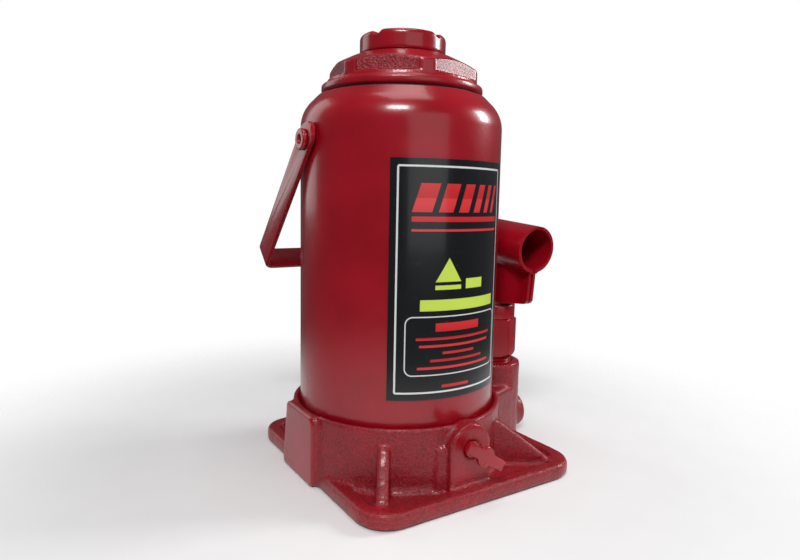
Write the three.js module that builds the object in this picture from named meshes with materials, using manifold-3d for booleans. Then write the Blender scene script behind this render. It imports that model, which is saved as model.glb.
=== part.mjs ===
// A hydraulic bottle jack: a screw-extended ram in a round oil reservoir on a cast base, with a
// hand pump, a release valve and a carrying handle.
// Millimetres. +Z is up, the ram's axis is the Z axis and the base stands on Z = 0. The pump is on
// the +X side, and the release valve and the mouth of the handle socket face -Y.

import * as THREE from 'three';
import { mergeVertices } from 'three/addons/utils/BufferGeometryUtils.js';
import Module from 'manifold-3d';

const wasm = await Module();
wasm.setup();

// Facets round a turned piece, by its size.
const LARGE_TURN = 36;
const MEDIUM_TURN = 24;
const SMALL_TURN = 12;
const FINE_TURN = 8;
const ARC_STEPS = 4;

// Clearances.
const GAP = 0.3;
const RUN_GAP = 0.5;
const PAST = 2; // how far a cutter runs past the face that it cuts

// Lift.
const CLOSED_HEIGHT = 285;
const LIFT = 180;
const SCREW_LIFT = 80;
const SCREW_PITCH = 6;

// Base casting.
const BASE_LEFT = -68;
const BASE_RIGHT = 92;
const BASE_HALF_DEPTH = 86.5;
const BASE_CORNER = 20;
const RIM_HEIGHT = 9.7;
const RIM_WIDTH = 9;
const RIM_BEVEL = 1.6;
const TRAY_FLOOR = 6.6;
const COLLAR_RADIUS = 70.9;
const COLLAR_TOP = 46.4;
const COLLAR_BEVEL = 1.8;
const COVE = 4.5;
const OIL_FLOOR = 42;
const SEAT_FLOOR = 22;
const GROOVE_FLOOR = 40.4;
const RIB_WIDTH = 7;
const RIB_TOP = 36.5;

// Flat clamping face cast on the side away from the pump.
const FACE_X = -72;
const FACE_TOP = 45.3;
const FACE_FRONT = -17;
const FACE_REAR_TOP = 24;
const FACE_REAR_FOOT = 31;

// Reservoir.
const RESERVOIR_RADIUS = 66.2;
const RESERVOIR_WALL = 3.2;
const SHOULDER_Z = 225.5;
const SHOULDER_RADIUS = 22;
const NECK_TOP = 245.8;
const FOOT_SEAL = 1.2;

// Top nut.
const FLANGE_RADIUS = 52.9;
const FLANGE_UNDER = 247.3;
const FLANGE_TOP = 252.8;
const HEX_FLATS = 88.4;
const HEX_TURNED = 49.1;
const HEX_FOOT = 255.8;
const HEX_TOP = 263;
const HEX_ANGLE = -104;
const NUT_TOP = 271.7;
const SKIRT_RADIUS = 49;
const SKIRT_FOOT = 237;

// Pressure cylinder and ram.
const CYLINDER_RADIUS = 42.7;
const CYLINDER_BORE = 33;
const CYLINDER_TOP = 249.2;
const WASHER = 1.6;
const RAM_RADIUS = 26;
const RAM_SPIGOT = 16;
const PISTON_FOOT = 39.6;
const PISTON_TOP = 57;
const RAM_NUT_FOOT = 25;
const RAM_NUT_TOP = 33;
const SCREW_RADIUS = 18.9;
const SCREW_FOOT = 122;
const SCREW_BORE_FOOT = 112;
const CROWN_RADIUS = 28.1;
const CROWN_HEIGHT = 12.5;
const CROWN_EDGE = 2.2;
const CROWN_GROOVE = 4;
const CROWN_GROOVE_DEPTH = 3;
const CROWN_ANGLE = 20;
const STOP_RING = 4;

// Label.
const LABEL_THICKNESS = 0.35;
const LABEL_FOOT = 62.6;
const LABEL_TOP = 204;
const LABEL_HALF_ANGLE = 37.5;

// Pump.
const PUMP_X = 88;
const TOWER_RADIUS = 20.3;
const TOWER_TOP = 60;
const SHOULDER_BLOCK_TOP = 43;
const PUMP_NECK = 14;
const PUMP_NECK_FOOT = 29.4;
const PUMP_BORE_FLOOR = 27.5;
const PUMP_HEX_FLATS = 30;
const PUMP_HEX_FOOT = 64;
const PUMP_HEX_TOP = 92.5;
const GLAND_RADIUS = 15.2;
const GLAND_TOP = 103.8;
const GLAND_SPIGOT = 9.6;
const GLAND_SPIGOT_FOOT = 88;
const PUMP_SEAL_FOOT = 82.5;
const PLUNGER_RADIUS = 6;
const PLUNGER_FOOT = 37;
const GALLERY_Z = 16;
const GALLERY_RADIUS = 4.2;
const GALLERY_END = 36;
const GALLERY_PLUG_RADIUS = 5.6;
const GALLERY_PLUG_END = 97;
const GALLERY_BOSS_RADIUS = 13.5;
const GALLERY_BOSS_X = 112.4;

// Pump linkage, in the plane X = PUMP_X.
const PIN_RADIUS = 4;
const PIN_HEAD = 6;
const PIN_FLANGE = 2.4;
const EYE_RADIUS = 8;
const LINK_WIDTH = 14;
const LINK_THICK = 12;
const LUG_THICK = 6.5;
const LUG_ROOT = 12;
const LINK_FOOT = { y: 28, z: 44 };
const LINK_TOP = { y: 27, z: 126 };
const PLUNGER_PIN = { y: 0, z: 116 };
const PLUNGER_EYE_PLAY = 2.2;

// Handle socket, in its own frame: mouth at the origin, axis along +Y.
const SOCKET_MOUTH = { y: -41.5, z: 147 };
const SOCKET_TILT = 5;
const SOCKET_RADIUS = 16.5;
const SHEET = 2.25;
const SOCKET_LENGTH = 80;
const EAR_FRONT_GAP = 0.8;
const EAR_GAP = LINK_THICK / 2 + RUN_GAP;
const SOCKET_STOP = 3;
const STOP_SETBACK = 6;

// Release valve.
const VALVE_X = 5.5;
const VALVE_Z = 32;
const VALVE_BOSS_RADIUS = 15.5;
const VALVE_BOSS_Y = -77.5;
const VALVE_BORE = 5.3;
const VALVE_BORE_END = -52;
const VALVE_PLATE_BACK = -88;
const VALVE_PLATE = 3;
const VALVE_DISC = 6;
const VALVE_ARMS = 32;
const VALVE_ARM_WIDTH = 6.5;
const VALVE_ARM_ANGLE = 33;
const VALVE_RING_Y = -70;

// Safety valve and inlet, in the ring of casting between the cylinder and the reservoir.
const ANNULUS_RADIUS = 53;
const SAFETY_BORE = 4.6;
const SAFETY_FLOOR = 23;
const INLET_BORE = 4;
const INLET_FLOOR = 24;
const BALL_RADIUS = 3.3;
const OIL_DRILLING = 1.8;

// Springs.
const WIRE = 0.55;
const SPRING_RADIUS = 2.7;

// Carrying handle.
const HANDLE_Z = 215.5;
const HANDLE_INNER_X = 67.3;
const STRAP = 3;
const STRAP_WIDTH = 16.5;
const HANDLE_REACH = 110;
const HANDLE_LEAN = 43.5;
const STRAP_BEND = 7;
const PIVOT_RADIUS = 4;
const PIVOT_HEAD = 6.6;
const PIVOT_HEAD_THICK = 2.6;

// Filler plug.
const FILLER_Z = 205;
const FILLER_ANGLE = 115;
const FILLER_RADIUS = 6;
const FILLER_HEAD = 9;

const QUARTER = Math.PI / 2;
const radians = (degrees) => THREE.MathUtils.degToRad(degrees);

const paint = (name, color, roughness, metalness) =>
  new THREE.MeshStandardMaterial({ name, color, roughness, metalness });
const CAST_PAINT = paint('cast_red_paint', 0x9c1328, 0.42, 0.05);
const SMOOTH_PAINT = paint('smooth_red_paint', 0xa01226, 0.28, 0.05);
const STEEL = paint('machined_steel', 0xa8a9ab, 0.32, 0.9);
const SPRING_STEEL = paint('spring_steel', 0x7d7f84, 0.35, 0.9);
const COPPER = paint('copper_washer', 0xb06a3c, 0.4, 0.9);
const RUBBER = paint('black_rubber', 0x17181a, 0.8, 0);
const LABEL_FILM = paint('label_film', 0x141517, 0.3, 0);
const BRASS = paint('brass_mesh', 0xb18a45, 0.4, 0.85);

// ---------------------------------------------------------------- solids

// Merges shared vertices and drops the empty triangles that a pole leaves.
function weld(geometry) {
  const bare = geometry.clone();
  bare.deleteAttribute('normal');
  bare.deleteAttribute('uv');
  const merged = mergeVertices(bare, 1e-4);
  const corners = merged.index.array;
  const kept = [];
  for (let i = 0; i < corners.length; i += 3) {
    const [a, b, c] = corners.slice(i, i + 3);
    if (a !== b && b !== c && a !== c) kept.push(a, b, c);
  }
  merged.setIndex(kept);
  return merged;
}

function solid(geometry) {
  const welded = weld(geometry);
  const vertProperties = new Float32Array(welded.attributes.position.array);
  const triVerts = new Uint32Array(welded.index.array);
  return new wasm.Manifold(new wasm.Mesh({ numProp: 3, vertProperties, triVerts }));
}

const join = (first, ...others) => others.reduce((whole, part) => whole.add(part), first);
const cut = (first, ...others) => others.reduce((whole, part) => whole.subtract(part), first);

function meshOf(name, piece, material) {
  const { vertProperties, triVerts } = piece.getMesh();
  const geometry = new THREE.BufferGeometry();
  geometry.setAttribute('position', new THREE.BufferAttribute(new Float32Array(vertProperties), 3));
  geometry.setIndex(new THREE.BufferAttribute(new Uint32Array(triVerts), 1));
  geometry.computeVertexNormals();
  const mesh = new THREE.Mesh(geometry, material);
  mesh.name = name;
  return mesh;
}

// ---------------------------------------------------------------- shapes

// Turns a closed profile of [radius, z] corners about the Z axis.
function turnedGeometry(profile, facets = LARGE_TURN) {
  const points = profile.map(([radius, z]) => new THREE.Vector2(radius, z));
  return new THREE.LatheGeometry(points, facets).rotateX(QUARTER);
}

function ringGeometry(outer, inner, foot, top, facets = LARGE_TURN) {
  const section = [[inner, foot], [outer, foot], [outer, top], [inner, top], [inner, foot]];
  return turnedGeometry(section, facets);
}

function rodGeometry(radius, foot, top, facets = SMALL_TURN) {
  return turnedGeometry([[0, foot], [radius, foot], [radius, top], [0, top]], facets);
}

// A rod along the X axis, and one along the Y axis.
const rodAlongX = (radius, from, to, facets) => rodGeometry(radius, from, to, facets).rotateY(QUARTER);
const rodAlongY = (radius, from, to, facets) => rodGeometry(radius, from, to, facets).rotateX(-QUARTER);

function blockGeometry(low, high) {
  const size = high.map((value, axis) => value - low[axis]);
  const middle = high.map((value, axis) => (value + low[axis]) / 2);
  return new THREE.BoxGeometry(...size).translate(...middle);
}

function outlineShape(corners) {
  return new THREE.Shape(corners.map(([x, y]) => new THREE.Vector2(x, y)));
}

function prismGeometry(shape, foot, top, curveSegments = ARC_STEPS) {
  const settings = { depth: top - foot, bevelEnabled: false, curveSegments };
  return new THREE.ExtrudeGeometry(shape, settings).translate(0, 0, foot);
}

// Puts a flat outline of [y, z] corners upright and gives it its thickness along X.
function uprightPrism(shape, from, to, curveSegments = ARC_STEPS) {
  return prismGeometry(shape, from, to, curveSegments).rotateX(QUARTER).rotateZ(QUARTER);
}

function roundedRectangle(left, right, front, rear, radius) {
  const shape = new THREE.Shape();
  shape.absarc(right - radius, front + radius, radius, -QUARTER, 0);
  shape.absarc(right - radius, rear - radius, radius, 0, QUARTER);
  shape.absarc(left + radius, rear - radius, radius, QUARTER, 2 * QUARTER);
  shape.absarc(left + radius, front + radius, radius, 2 * QUARTER, 3 * QUARTER);
  return shape;
}

function hexagonShape(flats, angle = 0) {
  const corner = flats / Math.sqrt(3);
  const corners = [];
  for (let side = 0; side < 6; side += 1) {
    const turn = radians(angle + 60 * side);
    corners.push([corner * Math.cos(turn), corner * Math.sin(turn)]);
  }
  return outlineShape(corners);
}

// An upright strap between two eyes, in the YZ plane.
function linkShape(lower, upper, radius, halfWidth) {
  const run = Math.atan2(upper.z - lower.z, upper.y - lower.y);
  const spread = Math.asin(halfWidth / radius);
  const shape = new THREE.Shape();
  shape.absarc(upper.y, upper.z, radius, run - Math.PI + spread, run + Math.PI - spread);
  shape.absarc(lower.y, lower.z, radius, run + spread, run - spread + 2 * Math.PI);
  return shape;
}

function ballGeometry(radius) {
  return new THREE.SphereGeometry(radius, FINE_TURN, FINE_TURN / 2);
}

// A coil spring along the Z axis from 0 to its length.
function springGeometry(length, turns) {
  class Coil extends THREE.Curve {
    getPoint(t, target = new THREE.Vector3()) {
      const turn = 2 * Math.PI * turns * t;
      const z = WIRE + (length - 2 * WIRE) * t;
      return target.set(SPRING_RADIUS * Math.cos(turn), SPRING_RADIUS * Math.sin(turn), z);
    }
  }
  const wire = new THREE.Shape().absarc(0, 0, WIRE, 0, 2 * Math.PI);
  const settings = { steps: turns * 8, curveSegments: 2, bevelEnabled: false, extrudePath: new Coil() };
  return new THREE.ExtrudeGeometry(wire, settings);
}

// ---------------------------------------------------------------- base casting

const seatRadius = CYLINDER_RADIUS + GAP;
const bodyHole = RESERVOIR_RADIUS + GAP;
const grooveInner = RESERVOIR_RADIUS - RESERVOIR_WALL - GAP;

function plateOutline(inset, radius) {
  const front = inset - BASE_HALF_DEPTH;
  return roundedRectangle(BASE_LEFT + inset, BASE_RIGHT - inset, front, -front, radius);
}

function basePlate() {
  const trayCorner = BASE_CORNER - RIM_WIDTH / 2;
  const lower = prismGeometry(plateOutline(0, BASE_CORNER), 0, RIM_HEIGHT - RIM_BEVEL);
  const top = prismGeometry(plateOutline(RIM_BEVEL, BASE_CORNER - RIM_BEVEL), 0, RIM_HEIGHT);
  const tray = prismGeometry(plateOutline(RIM_WIDTH, trayCorner), TRAY_FLOOR, RIM_HEIGHT + PAST);
  return cut(join(solid(lower), solid(top)), solid(tray));
}

// The collar round the reservoir, and the cove where it runs out into the tray.
function collar() {
  const cove = turnedGeometry([
    [0, 1],
    [COLLAR_RADIUS + COVE, 1],
    [COLLAR_RADIUS + COVE, TRAY_FLOOR],
    [COLLAR_RADIUS + 1, TRAY_FLOOR + COVE],
    [0, TRAY_FLOOR + COVE],
  ]);
  const wall = turnedGeometry([
    [0, 0],
    [COLLAR_RADIUS, 0],
    [COLLAR_RADIUS, COLLAR_TOP - COLLAR_BEVEL],
    [COLLAR_RADIUS - COLLAR_BEVEL, COLLAR_TOP],
    [0, COLLAR_TOP],
  ]);
  const plate = prismGeometry(plateOutline(RIM_BEVEL, BASE_CORNER - RIM_BEVEL), 0, COLLAR_TOP);
  return join(solid(wall), solid(cove).intersect(solid(plate)));
}

// A web from the collar out towards a corner of the plate, sloping down to the rim.
function rib(start, end) {
  const length = Math.hypot(end[0] - start[0], end[1] - start[1]);
  const inside = -20;
  const profile = outlineShape([
    [inside, 1], [length + 4, 1], [length + 4, RIM_HEIGHT - 0.4], [length, RIM_HEIGHT + 0.4],
    [3, RIB_TOP - 1], [0, RIB_TOP], [inside, RIB_TOP],
  ]);
  const web = prismGeometry(profile, -RIB_WIDTH / 2, RIB_WIDTH / 2).rotateX(QUARTER);
  const heading = Math.atan2(end[1] - start[1], end[0] - start[0]);
  return solid(web.rotateZ(heading).translate(start[0], start[1], 0));
}

function ribs() {
  const inset = 14;
  const webs = [];
  for (const side of [-1, 1]) {
    const leftStart = [-43.6, side * 55.9];
    const leftEnd = [BASE_LEFT + inset, side * (BASE_HALF_DEPTH - inset)];
    const rightStart = [43.2, side * 56.2];
    const rightEnd = [BASE_RIGHT - inset - 3, side * (BASE_HALF_DEPTH - inset)];
    webs.push(rib(leftStart, leftEnd), rib(rightStart, rightEnd));
  }
  return webs;
}

function clampingFace() {
  const profile = outlineShape([
    [FACE_FRONT + 2, 0], [FACE_REAR_FOOT - 3, 0], [FACE_REAR_FOOT, 3], [FACE_REAR_TOP, FACE_TOP],
    [FACE_FRONT, FACE_TOP], [FACE_FRONT, 3],
  ]);
  const cheek = outlineShape([
    [FACE_FRONT - 4, 0], [FACE_REAR_FOOT, 0], [FACE_REAR_TOP, FACE_TOP], [FACE_FRONT - 4, FACE_TOP],
  ]);
  const inner = BASE_LEFT + 14;
  return join(
    solid(uprightPrism(profile, FACE_X, inner)),
    solid(uprightPrism(cheek, FACE_X + 3.5, inner)),
  );
}

function valveBoss() {
  const left = VALVE_X - VALVE_BOSS_RADIUS;
  const right = VALVE_X + VALVE_BOSS_RADIUS;
  const arch = block(left, right, RIM_HEIGHT - 4, VALVE_Z);
  const nose = rodAlongY(VALVE_BOSS_RADIUS, VALVE_BOSS_Y, -COLLAR_RADIUS + 14, MEDIUM_TURN);
  const shoulder = blockGeometry(
    [left - 7, -COLLAR_RADIUS - 1.5, RIM_HEIGHT - 4], [right + 3, -COLLAR_RADIUS + 16, VALVE_Z],
  );
  return join(arch, solid(nose.translate(VALVE_X, 0, VALVE_Z)), solid(shoulder));

  function block(low, high, foot, top) {
    return solid(blockGeometry([low, VALVE_BOSS_Y, foot], [high, -COLLAR_RADIUS + 14, top]));
  }
}

const lugInner = LINK_THICK / 2 + RUN_GAP;
const lugOuter = lugInner + LUG_THICK;

function pumpTower() {
  const column = rodGeometry(TOWER_RADIUS, 0, TOWER_TOP - 2, MEDIUM_TURN);
  const crest = rodGeometry(TOWER_RADIUS - 2, 0, TOWER_TOP, MEDIUM_TURN);
  const webRear = LINK_FOOT.y - PIN_HEAD - 2 * GAP;
  const plan = outlineShape([
    [40, -36], [PUMP_X + 6, -TOWER_RADIUS + 0.6], [PUMP_X + 6, TOWER_RADIUS - 0.6], [40, webRear],
  ]);
  const web = prismGeometry(plan, 1, SHOULDER_BLOCK_TOP);
  const boss = rodAlongX(GALLERY_BOSS_RADIUS, PUMP_X, GALLERY_BOSS_X, MEDIUM_TURN);
  const lugs = [-1, 1].map((side) => {
    const head = new THREE.Shape();
    head.absarc(LINK_FOOT.y, LINK_FOOT.z, EYE_RADIUS + 1, -0.3 * QUARTER, Math.PI);
    head.lineTo(LUG_ROOT, LINK_FOOT.z - 6);
    head.lineTo(LUG_ROOT, TRAY_FLOOR + 6);
    head.lineTo(LUG_ROOT + 6, TRAY_FLOOR + 6);
    const faces = [side * lugInner, side * lugOuter].sort((a, b) => a - b);
    return solid(uprightPrism(head, PUMP_X + faces[0], PUMP_X + faces[1]));
  });
  return join(
    solid(column.translate(PUMP_X, 0, 0)),
    solid(crest.translate(PUMP_X, 0, 0)),
    solid(web),
    solid(boss.translate(0, 0, GALLERY_Z)),
    ...lugs,
  );
}

function baseCuts() {
  const linkSlot = blockGeometry(
    [PUMP_X - lugInner, LINK_FOOT.y - EYE_RADIUS - 1, LINK_FOOT.z - EYE_RADIUS - 1.5],
    [PUMP_X + lugInner, LINK_FOOT.y + 20, TOWER_TOP + PAST],
  );
  const plugBore = rodAlongX(GALLERY_PLUG_RADIUS + GAP, GALLERY_PLUG_END, GALLERY_BOSS_X + PAST);
  const gallery = rodAlongX(GALLERY_RADIUS, GALLERY_END, GALLERY_PLUG_END + 1, FINE_TURN);
  const valveBore = rodAlongY(VALVE_BORE, VALVE_BOSS_Y - PAST, VALVE_BORE_END);
  const valveDrilling = rodAlongY(OIL_DRILLING, VALVE_BORE_END - 1, -seatRadius + PAST, FINE_TURN);
  const pinHole = rodAlongX(PIN_RADIUS + GAP, PUMP_X - 30, PUMP_X + 30);
  return [
    solid(rodGeometry(bodyHole, OIL_FLOOR, COLLAR_TOP + PAST, LARGE_TURN)),
    solid(ringGeometry(bodyHole, grooveInner, GROOVE_FLOOR, OIL_FLOOR + 1)),
    solid(rodGeometry(seatRadius, SEAT_FLOOR, OIL_FLOOR + 1, LARGE_TURN)),
    solid(rodGeometry(PUMP_NECK + GAP, PUMP_BORE_FLOOR, TOWER_TOP + PAST, MEDIUM_TURN).translate(PUMP_X, 0, 0)),
    solid(rodGeometry(OIL_DRILLING, GALLERY_Z, PUMP_BORE_FLOOR + 1, FINE_TURN).translate(PUMP_X, 0, 0)),
    solid(plugBore.translate(0, 0, GALLERY_Z)),
    solid(gallery.translate(0, 0, GALLERY_Z)),
    solid(rodGeometry(OIL_DRILLING, GALLERY_Z, SEAT_FLOOR + 1, FINE_TURN).translate(GALLERY_END - 4 + 6, 0, 0)),
    solid(rodGeometry(INLET_BORE, INLET_FLOOR, OIL_FLOOR + 1).translate(ANNULUS_RADIUS, 0, 0)),
    solid(rodGeometry(OIL_DRILLING, GALLERY_Z, INLET_FLOOR + 1, FINE_TURN).translate(ANNULUS_RADIUS, 0, 0)),
    solid(rodGeometry(SAFETY_BORE, SAFETY_FLOOR, OIL_FLOOR + 1).translate(-ANNULUS_RADIUS, 0, 0)),
    solid(rodGeometry(OIL_DRILLING, GALLERY_Z, SAFETY_FLOOR + 1, FINE_TURN).translate(-ANNULUS_RADIUS, 0, 0)),
    solid(rodAlongX(OIL_DRILLING, -ANNULUS_RADIUS - 1, 1 - GALLERY_END, FINE_TURN).translate(0, 0, GALLERY_Z)),
    solid(rodGeometry(OIL_DRILLING, GALLERY_Z, SEAT_FLOOR + 1, FINE_TURN).translate(-GALLERY_END, 0, 0)),
    solid(valveBore.translate(VALVE_X, 0, VALVE_Z)),
    solid(valveDrilling.translate(VALVE_X, 0, VALVE_Z)),
    solid(linkSlot),
    solid(pinHole.translate(0, LINK_FOOT.y, LINK_FOOT.z)),
  ];
}

function baseCasting() {
  const mass = join(basePlate(), collar(), ...ribs(), clampingFace(), valveBoss(), pumpTower());
  return meshOf('base_casting', cut(mass, ...baseCuts()), CAST_PAINT);
}

// ---------------------------------------------------------------- reservoir, cylinder and top nut

function reservoirTube() {
  const outer = [];
  const inner = [];
  const centre = RESERVOIR_RADIUS - SHOULDER_RADIUS;
  const innerArc = SHOULDER_RADIUS - RESERVOIR_WALL;
  for (let step = 0; step <= ARC_STEPS; step += 1) {
    const turn = (QUARTER / 2) * (step / ARC_STEPS);
    const along = [Math.cos(turn), Math.sin(turn)];
    outer.push([centre + SHOULDER_RADIUS * along[0], SHOULDER_Z + SHOULDER_RADIUS * along[1]]);
    inner.unshift([centre + innerArc * along[0], SHOULDER_Z + innerArc * along[1]]);
  }
  const lastOuter = outer[outer.length - 1];
  const lastInner = inner[0];
  const neckOuter = lastOuter[0] - (NECK_TOP - lastOuter[1]);
  const neckInner = lastInner[0] - (NECK_TOP - lastInner[1]);
  const foot = GROOVE_FLOOR + FOOT_SEAL + 2 * GAP;
  const profile = [
    [RESERVOIR_RADIUS - RESERVOIR_WALL, foot],
    [RESERVOIR_RADIUS, foot],
    ...outer,
    [neckOuter, NECK_TOP],
    [neckInner, NECK_TOP],
    ...inner,
    [RESERVOIR_RADIUS - RESERVOIR_WALL, foot],
  ];
  const fillerHole = rodAlongX(FILLER_RADIUS + GAP, RESERVOIR_RADIUS - 8, RESERVOIR_RADIUS + PAST);
  const hole = fillerHole.rotateZ(radians(FILLER_ANGLE)).translate(0, 0, FILLER_Z);
  return meshOf('reservoir_tube', cut(solid(turnedGeometry(profile)), solid(hole)), SMOOTH_PAINT);
}

function reservoirSeals() {
  const foot = ringGeometry(
    RESERVOIR_RADIUS, RESERVOIR_RADIUS - RESERVOIR_WALL, GROOVE_FLOOR + GAP, GROOVE_FLOOR + GAP + FOOT_SEAL,
  );
  const neck = ringGeometry(FLANGE_RADIUS - 1.1, SKIRT_RADIUS + 0.6, NECK_TOP + GAP, FLANGE_UNDER - GAP);
  return [
    meshOf('reservoir_foot_seal', solid(foot), RUBBER),
    meshOf('reservoir_neck_seal', solid(neck), RUBBER),
  ];
}

const nutBore = RAM_RADIUS + RUN_GAP;
const lidUnder = CYLINDER_TOP + WASHER + 2 * GAP;
const WIPER = { foot: 262, height: 5, depth: 3.2 };

function topNut() {
  const flange = turnedGeometry([
    [0, SKIRT_FOOT],
    [SKIRT_RADIUS, SKIRT_FOOT],
    [SKIRT_RADIUS, FLANGE_UNDER],
    [FLANGE_RADIUS, FLANGE_UNDER],
    [FLANGE_RADIUS, FLANGE_TOP - 0.6],
    [FLANGE_RADIUS - 0.6, FLANGE_TOP],
    [HEX_TURNED, FLANGE_TOP],
    [HEX_TURNED, HEX_FOOT],
    [0, HEX_FOOT],
  ]);
  const turned = turnedGeometry([
    [0, HEX_FOOT - 1],
    [HEX_TURNED, HEX_FOOT - 1],
    [HEX_TURNED, HEX_TOP],
    [RAM_RADIUS + 9, NUT_TOP - 1.6],
    [RAM_RADIUS + 5, NUT_TOP],
    [0, NUT_TOP],
  ]);
  const hexagon = prismGeometry(hexagonShape(HEX_FLATS, HEX_ANGLE), HEX_FOOT - 1, NUT_TOP + 1);
  const head = solid(turned).intersect(solid(hexagon));
  const nut = cut(
    join(solid(flange), head),
    solid(rodGeometry(CYLINDER_RADIUS + GAP, SKIRT_FOOT - 1, lidUnder, LARGE_TURN)),
    solid(rodGeometry(nutBore, SKIRT_FOOT, NUT_TOP + PAST, LARGE_TURN)),
    solid(rodGeometry(nutBore + WIPER.depth, WIPER.foot, WIPER.foot + WIPER.height, LARGE_TURN)),
  );
  return meshOf('top_nut', nut, CAST_PAINT);
}

function cylinderPieces() {
  const washerTop = SEAT_FLOOR + GAP + WASHER;
  const tube = ringGeometry(CYLINDER_RADIUS, CYLINDER_BORE, washerTop + GAP, CYLINDER_TOP);
  const footWasher = ringGeometry(CYLINDER_RADIUS, CYLINDER_BORE, SEAT_FLOOR + GAP, washerTop);
  const topSeal = ringGeometry(
    CYLINDER_RADIUS, CYLINDER_BORE + 1, CYLINDER_TOP + GAP, CYLINDER_TOP + GAP + WASHER,
  );
  const wiper = ringGeometry(
    nutBore + WIPER.depth - GAP, RAM_RADIUS + GAP, WIPER.foot + GAP, WIPER.foot + WIPER.height - GAP,
  );
  return [
    meshOf('pressure_cylinder', solid(tube), STEEL),
    meshOf('cylinder_washer', solid(footWasher), COPPER),
    meshOf('cylinder_top_seal', solid(topSeal), RUBBER),
    meshOf('ram_wiper', solid(wiper), RUBBER),
  ];
}

function label() {
  const inner = RESERVOIR_RADIUS + GAP;
  const half = radians(LABEL_HALF_ANGLE);
  const shape = new THREE.Shape();
  shape.absarc(0, 0, inner + LABEL_THICKNESS, -QUARTER - half, -QUARTER + half);
  shape.absarc(0, 0, inner, -QUARTER + half, -QUARTER - half, true);
  return meshOf('label', solid(prismGeometry(shape, LABEL_FOOT, LABEL_TOP, 20)), LABEL_FILM);
}

function fillerPlug() {
  const plug = turnedGeometry([
    [0, -7],
    [FILLER_RADIUS, -7],
    [FILLER_RADIUS, 0],
    [FILLER_HEAD, 0],
    [FILLER_HEAD - 1, 2.6],
    [0, 3.2],
  ], SMALL_TURN);
  const mesh = meshOf('filler_plug', solid(plug.rotateY(QUARTER)), RUBBER);
  const reach = RESERVOIR_RADIUS + GAP;
  const heading = radians(FILLER_ANGLE);
  mesh.position.set(reach * Math.cos(heading), reach * Math.sin(heading), FILLER_Z);
  mesh.rotation.z = heading;
  return mesh;
}

// ---------------------------------------------------------------- ram and extension screw

const crownFoot = CLOSED_HEIGHT - CROWN_HEIGHT;
const ramTop = crownFoot - GAP;
const screwBore = SCREW_RADIUS + GAP;

function ramPieces() {
  const ram = turnedGeometry([
    [0, RAM_NUT_FOOT + 1],
    [RAM_SPIGOT, RAM_NUT_FOOT + 1],
    [RAM_SPIGOT, PISTON_TOP + GAP],
    [RAM_RADIUS, PISTON_TOP + GAP],
    [RAM_RADIUS, ramTop],
    [screwBore, ramTop],
    [screwBore, SCREW_BORE_FOOT],
    [0, SCREW_BORE_FOOT],
  ]);
  const spigotHole = RAM_SPIGOT + GAP;
  const pistonRadius = CYLINDER_BORE - RUN_GAP;
  const piston = ringGeometry(pistonRadius, spigotHole, PISTON_FOOT, PISTON_TOP);
  const cup = turnedGeometry([
    [spigotHole, RAM_NUT_TOP + GAP],
    [CYLINDER_BORE - GAP, RAM_NUT_TOP + GAP],
    [CYLINDER_BORE - GAP, PISTON_FOOT - GAP],
    [spigotHole, PISTON_FOOT - GAP],
    [spigotHole, RAM_NUT_TOP + GAP],
  ]);
  const nutOutline = hexagonShape(2 * (CYLINDER_BORE - 9));
  const nut = cut(
    solid(prismGeometry(nutOutline, RAM_NUT_FOOT, RAM_NUT_TOP)),
    solid(rodGeometry(spigotHole, RAM_NUT_FOOT - 1, RAM_NUT_TOP + 1, LARGE_TURN)),
  );
  return [
    meshOf('ram', solid(ram), STEEL),
    meshOf('piston', solid(piston), STEEL),
    meshOf('piston_seal', solid(cup), RUBBER),
    meshOf('ram_end_nut', nut, STEEL),
  ];
}

const ringGroove = { inner: SCREW_RADIUS - 4.5, foot: SCREW_FOOT + 3 };

function extensionScrew() {
  const screw = turnedGeometry([
    [0, SCREW_FOOT],
    [SCREW_RADIUS, SCREW_FOOT],
    [SCREW_RADIUS, ringGroove.foot],
    [ringGroove.inner, ringGroove.foot],
    [ringGroove.inner, ringGroove.foot + STOP_RING + 2 * GAP],
    [SCREW_RADIUS, ringGroove.foot + STOP_RING + 2 * GAP],
    [SCREW_RADIUS, crownFoot],
    [CROWN_RADIUS, crownFoot],
    [CROWN_RADIUS, CLOSED_HEIGHT - CROWN_EDGE],
    [CROWN_RADIUS - CROWN_EDGE * 0.3, CLOSED_HEIGHT - CROWN_EDGE * 0.3],
    [CROWN_RADIUS - CROWN_EDGE, CLOSED_HEIGHT],
    [0, CLOSED_HEIGHT],
  ]);
  const groove = rodAlongX(CROWN_GROOVE, -CROWN_RADIUS - PAST, CROWN_RADIUS + PAST);
  const grooves = [0, 90].map((turn) => {
    const lift = CLOSED_HEIGHT + CROWN_GROOVE - CROWN_GROOVE_DEPTH;
    return solid(groove.clone().rotateZ(radians(CROWN_ANGLE + turn)).translate(0, 0, lift));
  });
  return meshOf('extension_screw', cut(solid(screw), ...grooves), SMOOTH_PAINT);
}

function screwStopRing() {
  const foot = ringGroove.foot + GAP;
  const ring = ringGeometry(SCREW_RADIUS - GAP, ringGroove.inner + GAP, foot, foot + STOP_RING);
  return meshOf('screw_stop_ring', solid(ring), SPRING_STEEL);
}

// ---------------------------------------------------------------- pump

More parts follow.
